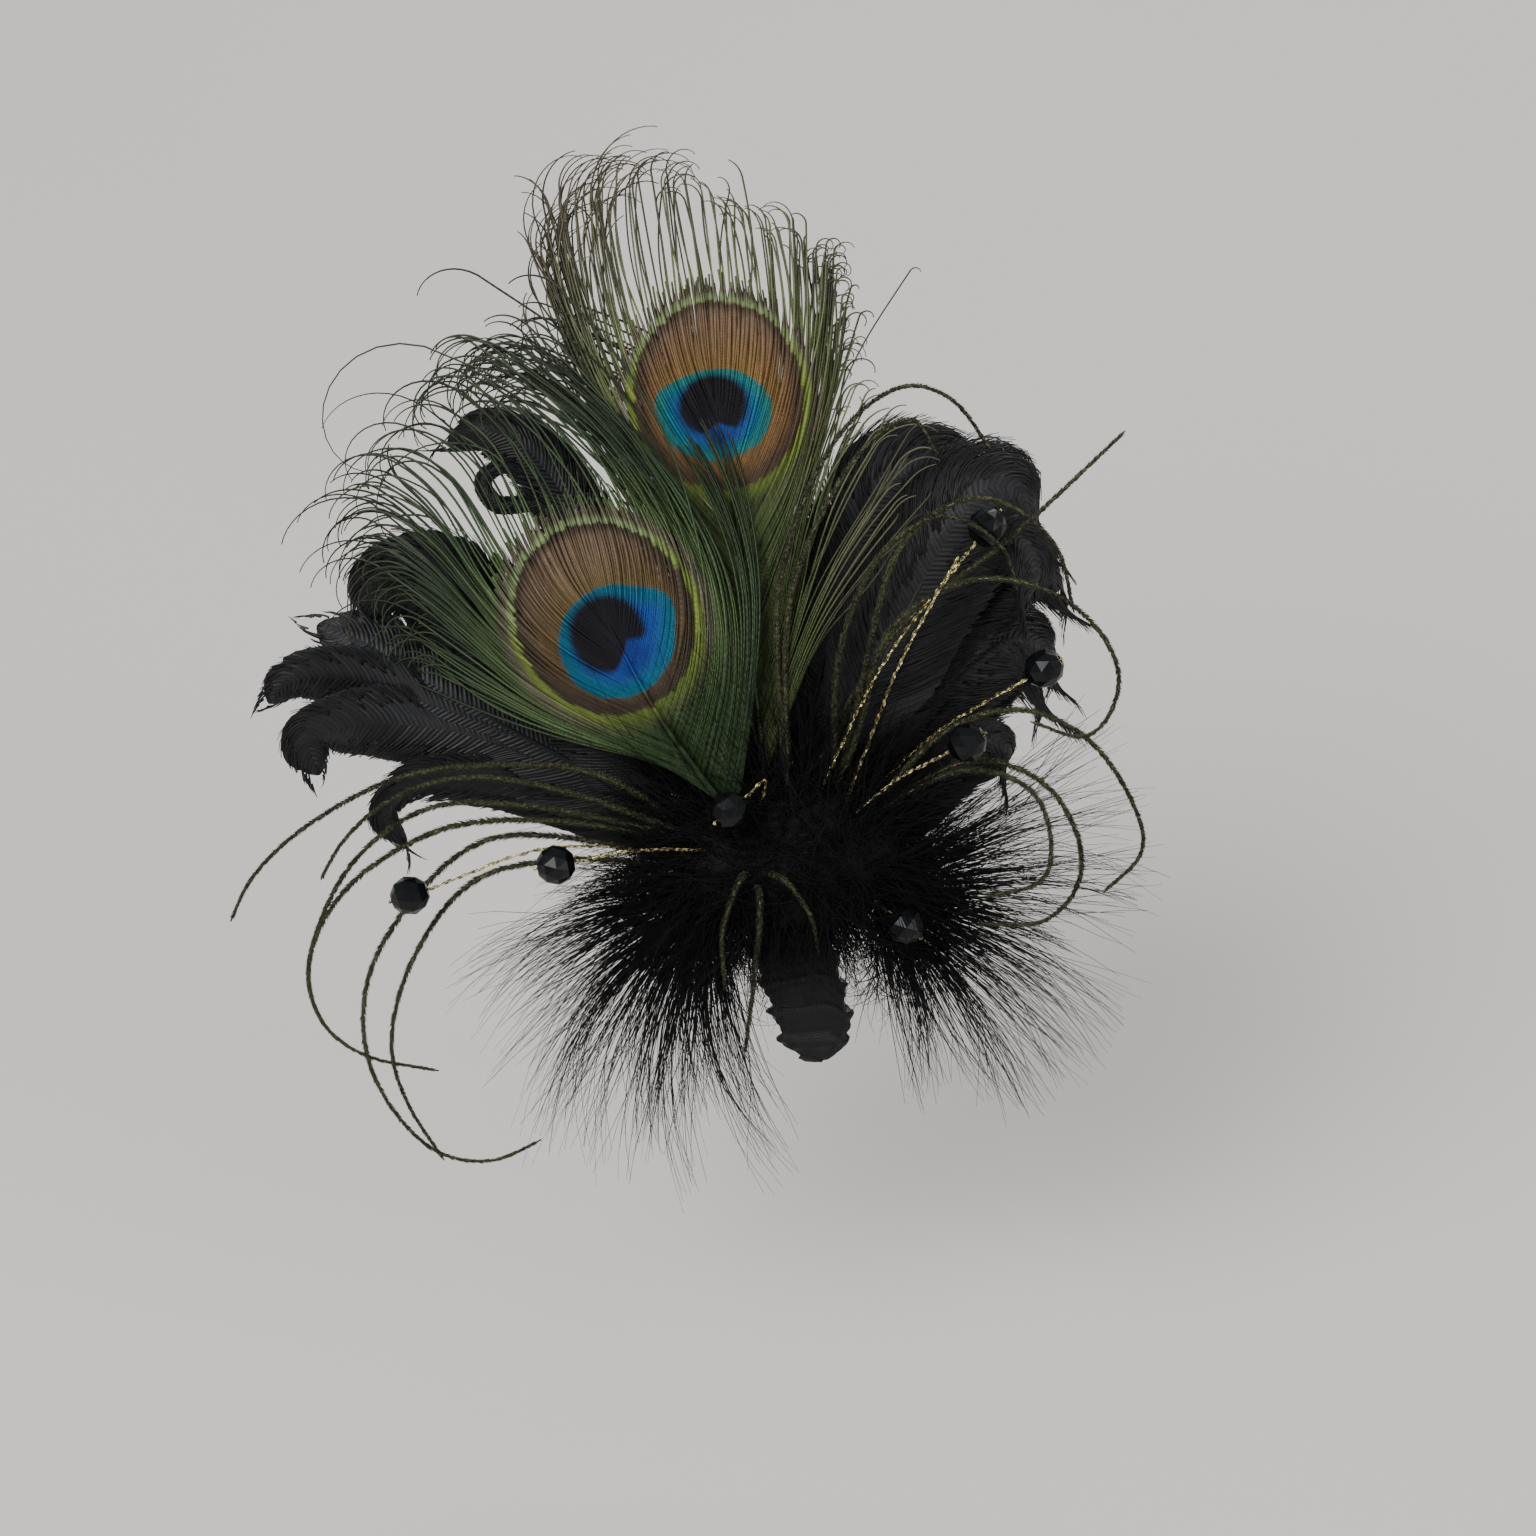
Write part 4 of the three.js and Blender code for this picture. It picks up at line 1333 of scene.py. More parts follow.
    def skins(self) -> list[Skin]:
        """Make the quill, the sheet and the loose hairs of every lobe.

        Returns:
            All their skins.
        """
        rng = np.random.default_rng(self.seed)
        made = []
        for number, lobe in enumerate(self.lobes):
            quill = through(np.array([lobe.middle]), 40)
            half = np.linspace(self.quill[0] if number == 0 else 0.45, self.quill[1], 40)[None]
            plain = {"barb": np.zeros((1, 40))}
            made.append(swept(quill, half, Section.QUILL, np.array([0.6]), extra=plain))
            made.append(self.vane(lobe, rng))
            edge = int(60 + 45 * lobe.ragged)
            made += [self.hairs(lobe, side, 0.66, edge, rng) for side in Side]
            if lobe.loose:
                made += [self.hairs(lobe, side, 0.25, lobe.loose, rng) for side in Side]
        return made


@dataclass
class Plume(Piece):
    """A marabou plume: fine hairs in wisps that fan out of a heel, over soft short down.

    start and end are the bearings between which the wisps fan, in degrees, and reach is how far they go at
    even steps from one to the other. droop is how far they follow the seat's curve, and bend how far each
    wisp curves sideways, in degrees. hairs is how many a wisp has, and down how many short ones there are.
    """

    heel: tuple[float, float, float]
    start: float
    end: float
    droop: float
    reach: tuple[float, ...]
    wisps: int
    bend: float = 14.0
    seed: int = 1
    hairs: int = 8
    down: int = 1000
    finish: Finish = field(default=DOWN, kw_only=True)

    slot_name: ClassVar[str] = "marabou"

    def far(self, turn: np.ndarray) -> np.ndarray:
        """Return the plume's reach at a bearing in degrees."""
        return np.interp(turn, np.linspace(self.start, self.end, len(self.reach)), self.reach)

    def fallen(self, across: np.ndarray, up: np.ndarray, lift: np.ndarray) -> np.ndarray:
        """Lay places along the seat's curve, lower the further from the heel they are.

        Args:
            across: how far across from the heel they are.
            up: how far up from it.
            lift: how far they stand off the curve.

        Returns:
            The places.
        """
        r2 = across ** 2 + up ** 2
        out = self.heel[2] + lift - self.droop * r2 / (2 * SEAT_RADIUS)
        return np.stack([self.heel[0] + across, self.heel[1] + up, out], axis=-1)

    def wispy(self, rng: np.random.Generator) -> Skin:
        """Make the long hairs, each wisp drawn together towards its tip.

        Args:
            rng: the plume's own random numbers.

        Returns:
            The hairs as one skin.
        """
        share = np.linspace(0.0, 1.0, 9)[None, None]
        bearing = np.linspace(self.start, self.end, self.wisps) + rng.normal(0.0, 2.0, self.wisps)
        bearing = bearing[:, None, None]
        shape = (self.wisps, self.hairs, 1)
        own = rng.uniform(0.5, 1.06, (self.wisps, 1, 1))
        far = self.far(bearing) * own * rng.uniform(0.86, 1.03, shape)
        begin = rng.uniform(0.5, 13.0, (self.wisps, 1, 1)) + rng.uniform(0.0, 6.0, shape)
        wide = rng.normal(0.0, 7.5, shape) * (1.0 - 0.76 * share) + rng.normal(0.0, 1.2, shape) * share
        curve = self.bend * (1.0 - share) * (0.5 + 1.0 * rng.random((self.wisps, 1, 1)))
        wave = rng.normal(0.0, 2.2, shape) * np.sin(share * math.pi * 1.4)
        turn = np.radians(bearing + wide - curve + wave)
        radius = begin + (far - begin) * share
        stack = rng.uniform(-1.0, 5.5, (self.wisps, 1, 1)) + rng.normal(0.0, 0.7, shape)
        lift = stack * np.sin(share * 2.3) + rng.normal(0.0, 1.6, shape) * share ** 2
        paths = self.fallen(radius * np.cos(turn), radius * np.sin(turn), lift).reshape(-1, 9, 3)
        thick = rng.uniform(0.10, 0.16, shape) * (1.0 - 0.72 * share)
        return swept(paths, thick.reshape(-1, 9), Section.HAIR, rng.random(len(paths)))

    def downy(self, rng: np.random.Generator) -> Skin:
        """Make the short curled hairs near the heel.

        Args:
            rng: the plume's own random numbers.

        Returns:
            The hairs as one skin.
        """
        count = self.down
        bearing = rng.uniform(self.start - 16, self.end + 16, count)
        turn = np.radians(bearing)[:, None]
        begin = np.minimum(rng.gamma(2.0, 4.0, count)[:, None], 0.34 * self.far(bearing)[:, None])
        long = rng.uniform(5.0, 13.0, count)[:, None]
        share = np.linspace(0.0, 1.0, 7)[None]
        heading = turn + rng.normal(0.0, 0.4, (count, 1)) + rng.normal(0.0, 0.9, (count, 1)) * share
        across = begin * np.cos(turn) + long * share * np.cos(heading)
        up = begin * np.sin(turn) + long * share * np.sin(heading)
        lift = rng.uniform(0.0, 5.0, (count, 1)) + rng.normal(0.5, 4.0, (count, 1)) * share
        half = rng.uniform(0.09, 0.15, (count, 1)) * (1.0 - 0.75 * share)
        return swept(self.fallen(across, up, lift), half, Section.HAIR, rng.random(count))

    def skins(self) -> list[Skin]:
        """Return the down and the long hairs."""
        rng = np.random.default_rng(self.seed)
        return [self.downy(rng), self.wispy(rng)]


@dataclass
class Puff(Piece):
    """The puff in the middle: a dark rough dome under fine curled hairs.

    at is its middle, half its half sizes, longest its longest hair but for those that lie over the eye
    feather's root, and sweep the bearing of those, in radians.
    """

    at: tuple[float, float, float]
    half: tuple[float, float, float]
    hairs: int = 4100
    longest: float = 25.0
    sweep: float = 2.35
    seed: int = 1
    finish: Finish = field(default=DOWN, kw_only=True)

    slot_name: ClassVar[str] = "marabou"

    def dome(self) -> Skin:
        """Make the rough dark body that the hairs stand on.

        Returns:
            The body.
        """
        rows, sides = 26, 48
        tilt = np.linspace(-0.5, 0.5, rows + 2)[1:-1, None] * math.pi
        turn = np.linspace(0.0, math.tau, sides, endpoint=False)[None]
        rough = 1.0 + 0.05 * np.sin(5 * turn + 3 * tilt) * np.cos(tilt)
        rough = rough + 0.035 * np.sin(13 * turn - 7 * tilt)
        shape = np.stack([
            np.cos(tilt) * np.cos(turn) * rough,
            np.cos(tilt) * np.sin(turn) * rough,
            np.sin(tilt) * rough,
        ], axis=-1)
        return wrapped(np.array(self.at) + shape * np.array(self.half) * 0.93)

    def skins(self) -> list[Skin]:
        """Make the dome and its hairs.

        Returns:
            Both skins.
        """
        rng = np.random.default_rng(self.seed)
        count = self.hairs
        turn = rng.uniform(0.0, math.tau, count)
        tilt = np.arcsin(rng.uniform(-0.7, 1.0, count))
        normal = np.stack([np.cos(tilt) * np.cos(turn), np.cos(tilt) * np.sin(turn), np.sin(tilt)], axis=-1)
        base = np.array(self.at) + normal * np.array(self.half) * 0.9
        lean = turn + rng.normal(0.0, 2.4, count) * np.maximum(np.sin(tilt), 0.0) ** 2
        flat = np.stack([np.cos(lean), np.sin(lean), np.full(count, 0.1)], axis=-1)
        way = unit(normal * np.array([0.9, 0.9, 0.35]) + flat * 1.2 + rng.normal(0.0, 0.42, (count, 3)))
        swirl = rng.normal(0.0, 1.0, (count, 3))
        low = 0.42 * self.longest
        upper = np.maximum(np.sin(lean), -0.25)
        outer = (0.42 + 0.5 * np.cos(tilt) + 0.5 * upper * np.cos(tilt))[:, None, None]
        over = np.exp(-((np.mod(lean, math.tau) - self.sweep) / 0.5) ** 2) * np.maximum(np.sin(tilt), 0.0)
        long = (low + (self.longest - low) * rng.random((count, 1, 1)) ** 2.0) * outer
        long = long * (1.0 + 1.3 * over[:, None, None])
        share = np.linspace(0.0, 1.0, 8)[None, :, None]
        curl = 0.33 * (swirl - way * np.sum(swirl * way, axis=-1, keepdims=True))
        paths = base[:, None] + long * (way[:, None] * share + curl[:, None] * share ** 2)
        paths = paths + long * np.array([0.0, -0.04, -0.08]) * share ** 2
        half = rng.uniform(0.10, 0.18, (count, 1)) * (1.0 - 0.78 * share[..., 0])
        return [self.dome(), swept(paths, half, Section.HAIR, rng.random(count))]


@dataclass
class HerlSpray(Piece):
    """A spray of peacock herl: fine stems in a close fur of short barbules.

    strands holds the places that each stem passes. Rings of four barbules stand pitch apart, and barbule
    is their least and greatest length. stem is a stem's half width at its root and tip.
    """

    strands: tuple[Places, ...]
    seed: int = 1
    pitch: float = 0.22
    barbule: Flat = (1.2, 2.0)
    stem: Flat = (0.34, 0.18)
    finish: Finish = field(default=HERL, kw_only=True)

    slot_name: ClassVar[str] = "herl"

    def strand(self, places: Places, rng: np.random.Generator) -> list[Skin]:
        """Make one stem and its barbules.

        Args:
            places: what the stem passes.
            rng: the spray's own random numbers.

        Returns:
            The stem and the barbules.
        """
        steps = 90
        path = softened(through(np.array([places]), steps), 4)
        length = np.linalg.norm(np.diff(path[0], axis=0), axis=-1).sum()
        stem = swept(path, np.linspace(*self.stem, steps)[None], Section.CORD, np.array([0.5]))
        # the stem carries the painted glints at full strength
        stem.values["core"] = np.ones(len(stem.places))
        count = int(length / self.pitch) * 4
        at = np.repeat(np.linspace(0.05, 0.99, count // 4), 4) * (steps - 1)
        across, up = carried_frames(path)
        base, ahead, side_way, lifted = (
            np.stack([np.interp(at, np.arange(steps), track[0, :, k]) for k in range(3)], axis=-1)
            for track in (path, unit(np.gradient(path, axis=1)), across, up)
        )
        roll = (np.arange(count) % 4) * (math.pi / 2) + at * 0.35 + rng.normal(0.0, 0.5, count)
        outward = side_way * np.cos(roll)[:, None] + lifted * np.sin(roll)[:, None] * 0.7
        long = rng.uniform(*self.barbule, count)[:, None] * (1.0 - 0.5 * (at / (steps - 1))[:, None] ** 1.5)
        tips = base + long * (ahead * 0.78 + outward * 0.62)
        fur = spiked(base + 0.12 * outward, tips, 0.17, rng.random(count))
        # core weights the painted glints, full at each barbule's root and fading to its tip
        fur.values["core"] = 1.0 - fur.values["along"]
        return [stem, fur]

    def skins(self) -> list[Skin]:
        """Return every strand of the spray."""
        rng = np.random.default_rng(self.seed)
        return [skin for places in self.strands for skin in self.strand(places, rng)]


@dataclass
class GoldThread(Piece):
    """Two flat metallic strands laid round each other, with a small knot where a bead ends the thread.

    lay is the length in which the strands go round each other once, and twist that in which each turns on
    itself. strand is a strand's half width, apart how far it runs from the thread's middle, and ball and
    cord are the knot's radius and the half width of the thread in it.
    """

    places: Places
    knot: bool = True
    lay: float = 6.4
    twist: float = 3.1
    strand: float = 0.22
    apart: float = 0.20
    ball: float = 0.28
    cord: float = 0.13
    finish: Finish = field(default=GOLD, kw_only=True)

    slot_name: ClassVar[str] = "gold_thread"

    def skins(self) -> list[Skin]:
        """Make both strands and the knot.

        Returns:
            Their skins.
        """
        middle = through(np.array([self.places]), 400)
        length = np.linalg.norm(np.diff(middle[0], axis=0), axis=-1).sum()
        count = int(length / self.lay * 14)
        middle = evenly(middle, count)
        across, up = carried_frames(middle)
        travelled = np.linspace(0.0, length, count)[None]
        turn = (travelled * (math.tau / self.lay))[..., None]
        made = []
        for phase in (0.0, math.pi):
            orbit = self.apart * (1.0 + 0.5 * np.sin(turn * 0.37 + phase))
            path = middle + orbit * (across * np.cos(turn + phase) + up * np.sin(turn + phase))
            roll = travelled * (math.tau / self.twist) + phase + 0.7 * np.sin(travelled * 0.9 + phase)
            half = np.full((1, count), self.strand)
            made.append(swept(path, half, Section.TINSEL, np.array([0.5]), roll=roll))
        if self.knot:
            made.append(self.knotted(middle[0, -1]))
        return made

    def knotted(self, end: np.ndarray) -> Skin:
        """Make the knot: the thread wound three times round its own end.

        Args:
            end: the thread's end.

        Returns:
            The knot.
        """
        turn = np.linspace(0.0, 6.0 * math.pi, 60)
        wave = np.sin(turn * 0.33)
        wound = np.stack([np.cos(turn) * np.cos(wave), np.sin(turn) * np.cos(wave), np.sin(wave)], axis=-1)
        path = (end + self.ball * wound)[None]
        return swept(path, np.full((1, 60), self.cord), Section.CORD, np.array([0.5]))


@dataclass
class RibbonStrip(Piece):
    """The strip, wound with ribbon: each turn laps the last and stands out at its edge.

    below is how much of its length lies below the origin. lean is how far it leans to the left, in
    degrees. pitch is from one turn to the next, lap how far a turn stands out of the last, ruffle how much
    further at the strip's sides, and slant how far a turn runs along the strip on its way across.
    """

    length: float = 82.0
    below: float = 39.0
    width: float = 16.5
    end_width: float = 13.0
    rounding: float = 5.5
    thickness: float = 3.0
    lean: float = 15.0
    pitch: float = 6.2
    lap: float = 0.75
    ruffle: float = 0.75
    slant: float = 2.4
    finish: Finish = field(default=RIBBON, kw_only=True)

    slot_name: ClassVar[str] = "ribbon"

    def skins(self) -> list[Skin]:
        """Make the wrapped strip.

        Returns:
            The strip as one skin.
        """
        rows, sides = 290, 64
        share = np.linspace(0.0, 1.0, rows)[:, None]
        turn = np.linspace(0.0, math.tau, sides, endpoint=False)[None]
        from_end = np.minimum(share, 1 - share)
        rounding = np.sqrt(np.minimum(1.0, 0.02 + from_end * self.length / self.rounding))
        width = (self.end_width + (self.width - self.end_width) * np.minimum(1.0, 3 * from_end)) * rounding
        cosine, sine = np.cos(turn), np.sin(turn)
        flat_x = np.sign(cosine) * np.abs(cosine) ** 0.42
        flat_z = np.sign(sine) * np.abs(sine) ** 0.42
        along = share * self.length
        slanted = along + self.slant * cosine + 0.7 * np.sin(2.0 * turn + along / 9.0)
        phase = np.mod(slanted / self.pitch, 1.0)
        fold = np.where(phase < 0.9, (phase / 0.9) ** 1.6, (1.0 - phase) / 0.1)
        edge = np.abs(cosine) ** 6
        gather = np.sin(slanted * 2.9 + 1.6 * np.sin(3 * turn)) * 0.22
        gather = gather + np.sin(turn * 11 + along * 0.8) * 0.17
        proud = self.lap * fold + gather * (0.4 + fold) + self.ruffle * fold * edge
        thick = self.thickness / 2 * (0.35 + 0.65 * rounding)
        x = flat_x * (width / 2 - 0.3) + cosine * proud
        z = np.maximum(flat_z * (thick - 0.1) + sine * proud * 0.55, -self.thickness / 2)
        radius = SEAT_RADIUS + self.thickness / 2 + z
        angle = (along - self.below) / SEAT_RADIUS
        up = radius * np.sin(angle)
        out = radius * np.cos(angle) - SEAT_RADIUS
        lean = math.radians(self.lean)
        rings = np.stack([
            x * math.cos(lean) - up * math.sin(lean), x * math.sin(lean) + up * math.cos(lean), out + 0 * x,
        ], axis=-1)[:, ::-1]
        grid = np.ones((rows, sides))
        extra = {
            "fold": (fold * grid)[:, ::-1],
            "along_mm": (slanted * grid)[:, ::-1],
            "round_mm": (flat_x * width / 2 * grid)[:, ::-1],
        }
        return [wrapped(rings, extra)]


UPPER = EyeFeather(
    "eye_feather_upper",
    shaft=((-1.4, 12, 14.5), (-3.8, 36, 16.5), (-6.4, 62, 18.5), (-9, 80, 20), (-12.2, 96, 20.4)),
    left=(
        Barb(0.12, (-7, 38), (-14, 52), (-24, 66), (-34, 80), 30, 6),
        Barb(0.22, (-10, 48), (-21, 64), (-32, 84), (-42, 104), -30, 7),
        Barb(0.34, (-14, 58), (-27, 78), (-38, 102), (-47, 122), -90, 8),
        Barb(0.46, (-18, 68), (-31, 88), (-41, 112), (-47.4, 131), -105, 8.5),
        Barb(0.57, (-22, 79), (-33, 97), (-40.5, 118), (-44.4, 136), -110, 8),
        Barb(0.67, (-23, 88), (-30.5, 104), (-35.5, 122), (-38, 138.6), -115, 7),
        Barb(0.77, (-21, 96), (-25.6, 110), (-29, 126), (-30.6, 140.6), -130, 5),
        Barb(0.88, (-17.8, 101), (-20.6, 114), (-23, 128), (-24.4, 141), -150, 3.4),
        Barb(1.0, (-13.9, 104), (-15.1, 116), (-16.7, 129), (-17.9, 140), -140, 2.8),
    ),
    right=(
        Barb(0.10, (3, 34), (9, 48), (18, 62), (28, 74), -40, 6, 9),
        Barb(0.16, (2, 40), (8, 57), (16, 73), (25, 87), -70, 5, 9),
        Barb(0.23, (1, 47), (5, 65), (9.8, 83), (15, 99), -110, 3, 4),
        Barb(0.34, (0.6, 57), (6, 76), (10.6, 96), (13.4, 117), -220, 1.2),
        Barb(0.46, (1.8, 69), (7.2, 86), (10.4, 104), (11.8, 124), -230, 1.2),
        Barb(0.58, (3.4, 80), (6.8, 95), (8.2, 111), (8.2, 128.6), -190, 1.6),
        Barb(0.68, (2, 89), (4.6, 102), (4.6, 116), (3.2, 131), 120, 2.6),
        Barb(0.78, (-3, 96), (-1.2, 108), (-2, 121), (-4, 134), 80, 6),
        Barb(0.88, (-8.2, 101), (-7.6, 113), (-8.8, 125), (-10.8, 138), 90, 4),
        Barb(1.0, (-13.8, 104), (-15.0, 116), (-16.5, 129), (-17.7, 140), 100, 3),
    ),
    eye=(-12.2, 94.4), lean=8.0, seed=11,
    finish=EyeFinish("eye_upper"),
)

LOWER = EyeFeather(
    "eye_feather_lower",
    shaft=(
        (-6, 11, 20), (-11, 16, 21.5), (-17, 24, 23.5), (-22.6, 32, 25.5), (-28, 41.5, 27), (-33, 51, 27.6)),
    left=(
        Barb(0.08, (-20, 22), (-37, 27), (-54, 33), (-69, 42), 60, 6),
        Barb(0.20, (-28, 26), (-46, 34), (-61, 46), (-74, 56), 130, 5),
        Barb(0.32, (-35, 31), (-51, 41), (-65, 55), (-77, 64), 140, 6.5),
        Barb(0.45, (-41, 37), (-55, 49), (-68, 64), (-79, 71), 130, 7.5),
        Barb(0.58, (-44.5, 44), (-57, 58), (-68, 75), (-79, 81), 120, 8.5),
        Barb(0.72, (-45.5, 51), (-55, 66), (-64.5, 82), (-75, 88), 125, 8.5),
        Barb(0.86, (-43.5, 58), (-50, 73), (-57, 87), (-67, 95), 140, 7.5),
        Barb(1.0, (-37.3, 62.2), (-42.0, 76), (-49.9, 89), (-61, 98.6), 150, 6.5),
    ),
    right=(
        Barb(0.05, (-4.2, 37), (-3.6, 64), (-17, 101), (-47, 111), 60, 7),
        Barb(0.11, (-5.6, 39), (-6.0, 63), (-21, 94), (-47, 108.6), 80, 7.5),
        Barb(0.16, (-7.4, 41), (-9.8, 63), (-25.5, 87), (-49, 105.4), 110, 7.5),
        Barb(0.32, (-10.6, 43.5), (-14, 64), (-29.6, 86), (-52, 105), 130, 7.5),
        Barb(0.45, (-14.6, 46), (-18, 66), (-33, 88), (-54.6, 105), 150, 7),
        Barb(0.60, (-19, 51), (-22.4, 69), (-37.4, 90), (-57.4, 104), 155, 6.6),
        Barb(0.75, (-24.2, 56), (-28, 72), (-41, 90), (-59, 102.6), 155, 6.2),
        Barb(0.90, (-30, 60), (-34, 75), (-45, 89.6), (-60.4, 101), 155, 6),
        Barb(1.0, (-37.2, 62.3), (-41.9, 76), (-49.7, 89), (-60.8, 98.7), 155, 6),
    ),
    eye=(-33.0, 48.8), lean=31.0, bulge=3.0, fall=6.0,
    spacing=0.32, fringe_gap=1.1, fringe_half=0.23, seed=12,
    finish=EyeFinish(
        "eye_lower", bronze=(17.3, 19.4), bronze_at=(1.1, 2.8), ring=(11.9, 11.3), ring_at=(0.8, -2.2),
        dark=(7.2, 7.4), wedge=(2.6, -0.6, 0.62), corner=9.0,
        ring_tones=((0.006, 0.105, 0.17), (0.006, 0.055, 0.27)),
        bronze_tones=((0.115, 0.078, 0.024), (0.088, 0.056, 0.022), (0.038, 0.026, 0.016)),
        fringe=((0.055, 0.090, 0.030), (0.032, 0.054, 0.024), (0.030, 0.038, 0.020)),
        below=(0.016, 0.038, 0.010),
    ),
)

GEESE = (
    GooseFeather("goose_left_lobed", (
        Lobe(((-10, 7, 8), (-38, 22, 10), (-68, 38.6, 13), (-83, 48, 13), (-92, 51, 11)), 11.4, 12, 0.8),
        Lobe(((-40, 24, 10), (-66, 34, 13), (-88, 40.5, 15), (-97, 39.6, 14), (-101.6, 35.4, 12)),
             7.8, -38, 0.6),
        Lobe(((-42, 22, 10), (-66, 30, 13), (-84, 31, 16), (-93, 28, 15), (-91.4, 21, 12)), 8.4, -48, 0.8),
    ), 21, full_at=0.36),
    GooseFeather("goose_left_low", (
        Lobe(((-9, 3, 7), (-40, 15, 8), (-60, 20, 11), (-73, 19, 14), (-78, 13, 13), (-74, 7.4, 10)),
             6.0, -50, 1.2),
    ), 22, full_at=0.3),
    GooseFeather("goose_left_high", (
        Lobe(((-9, 11, 11), (-38, 35, 13), (-58, 52, 14), (-70, 59, 15), (-79, 58, 14), (-81, 52, 11)),
             13.4, -20, 2.4),
    ), 23, full_at=0.3),
    GooseFeather("goose_crown_left", (
        Lobe(((-6, 14, 11.5), (-27, 50, 12), (-43, 78, 12), (-52, 88, 13), (-60, 90, 12), (-66, 87.5, 9)),
             8.2, 0, 1.0),
        Lobe(((-36, 66, 12), (-47, 75, 12.5), (-56, 75.4, 13), (-58.5, 80, 13), (-54, 83, 13),
              (-49.5, 80, 12.5)), 1.9, 0, 0.5),
    ), 24),
    GooseFeather("goose_crown_right", (
        Lobe(((4, 15, 9), (10, 45, 10), (17, 66, 11), (24, 80, 12), (33, 83, 11), (40, 78, 8)),
             13.2, 0, 3.0, 130),
    ), 25, full_at=0.22, finish=HACKLE),
    GooseFeather("goose_right_high", (
        Lobe(((8, 13, 10), (20, 40, 14.5), (32, 64, 17), (42, 78, 17.5), (48, 78, 16), (51, 72, 13)),
             12.6, -10, 6.0, 170),
        Lobe(((30, 58, 16), (40, 66, 17.5), (48, 68, 18), (52, 62, 16), (50, 55, 14)), 5.4, -30, 4.0, 30),
    ), 26, full_at=0.4, finish=HACKLE),
    GooseFeather("goose_right_curl", (
        Lobe(((11, 10, 8.5), (22, 36, 7), (36, 55, 8.5), (47, 63, 10), (54, 62, 9), (57, 58, 6)),
             9.8, -20, 5.0, 110),
    ), 27, full_at=0.4, finish=HACKLE),
    GooseFeather("goose_right_mid", (
        Lobe(((12, 7, 7.5), (26, 28, 4), (38, 42, 4), (48, 49, 4), (54, 47, 3), (56, 43, 0)),
             8.8, -20, 4.5, 90),
    ), 28, full_at=0.4, finish=HACKLE),
    GooseFeather("goose_right_tuft", (
        Lobe(((13, 4, 6), (26, 20, 0.5), (37, 34, -0.5), (46, 42, -1), (52, 41, -2), (54, 37, -4)),
             7.2, -20, 4.5, 70),
    ), 29, full_at=0.4, finish=HACKLE),
    GooseFeather("goose_right_low", (
        Lobe(((14, 1, 9), (27, 13, 8.5), (37, 23, 9), (43, 28, 9), (47, 26, 8), (46, 22, 5)),
             5.8, -30, 3.0, 50),
    ), 30, full_at=0.4, finish=HACKLE),
)

PLUMES = (
    Plume("marabou_left", (-12, -4, 5.6), 166.0, 284.0, 1.0,
          (38, 42, 50, 58, 61, 62, 64, 64, 66, 67, 63, 58), 88, seed=41),
    Plume("marabou_right", (20, -4, 5.2), -78.0, 38.0, 0.8,
          (50, 54, 60, 62, 64, 62, 60, 58, 59, 58, 60, 64), 70, bend=-9.0, seed=42),
)

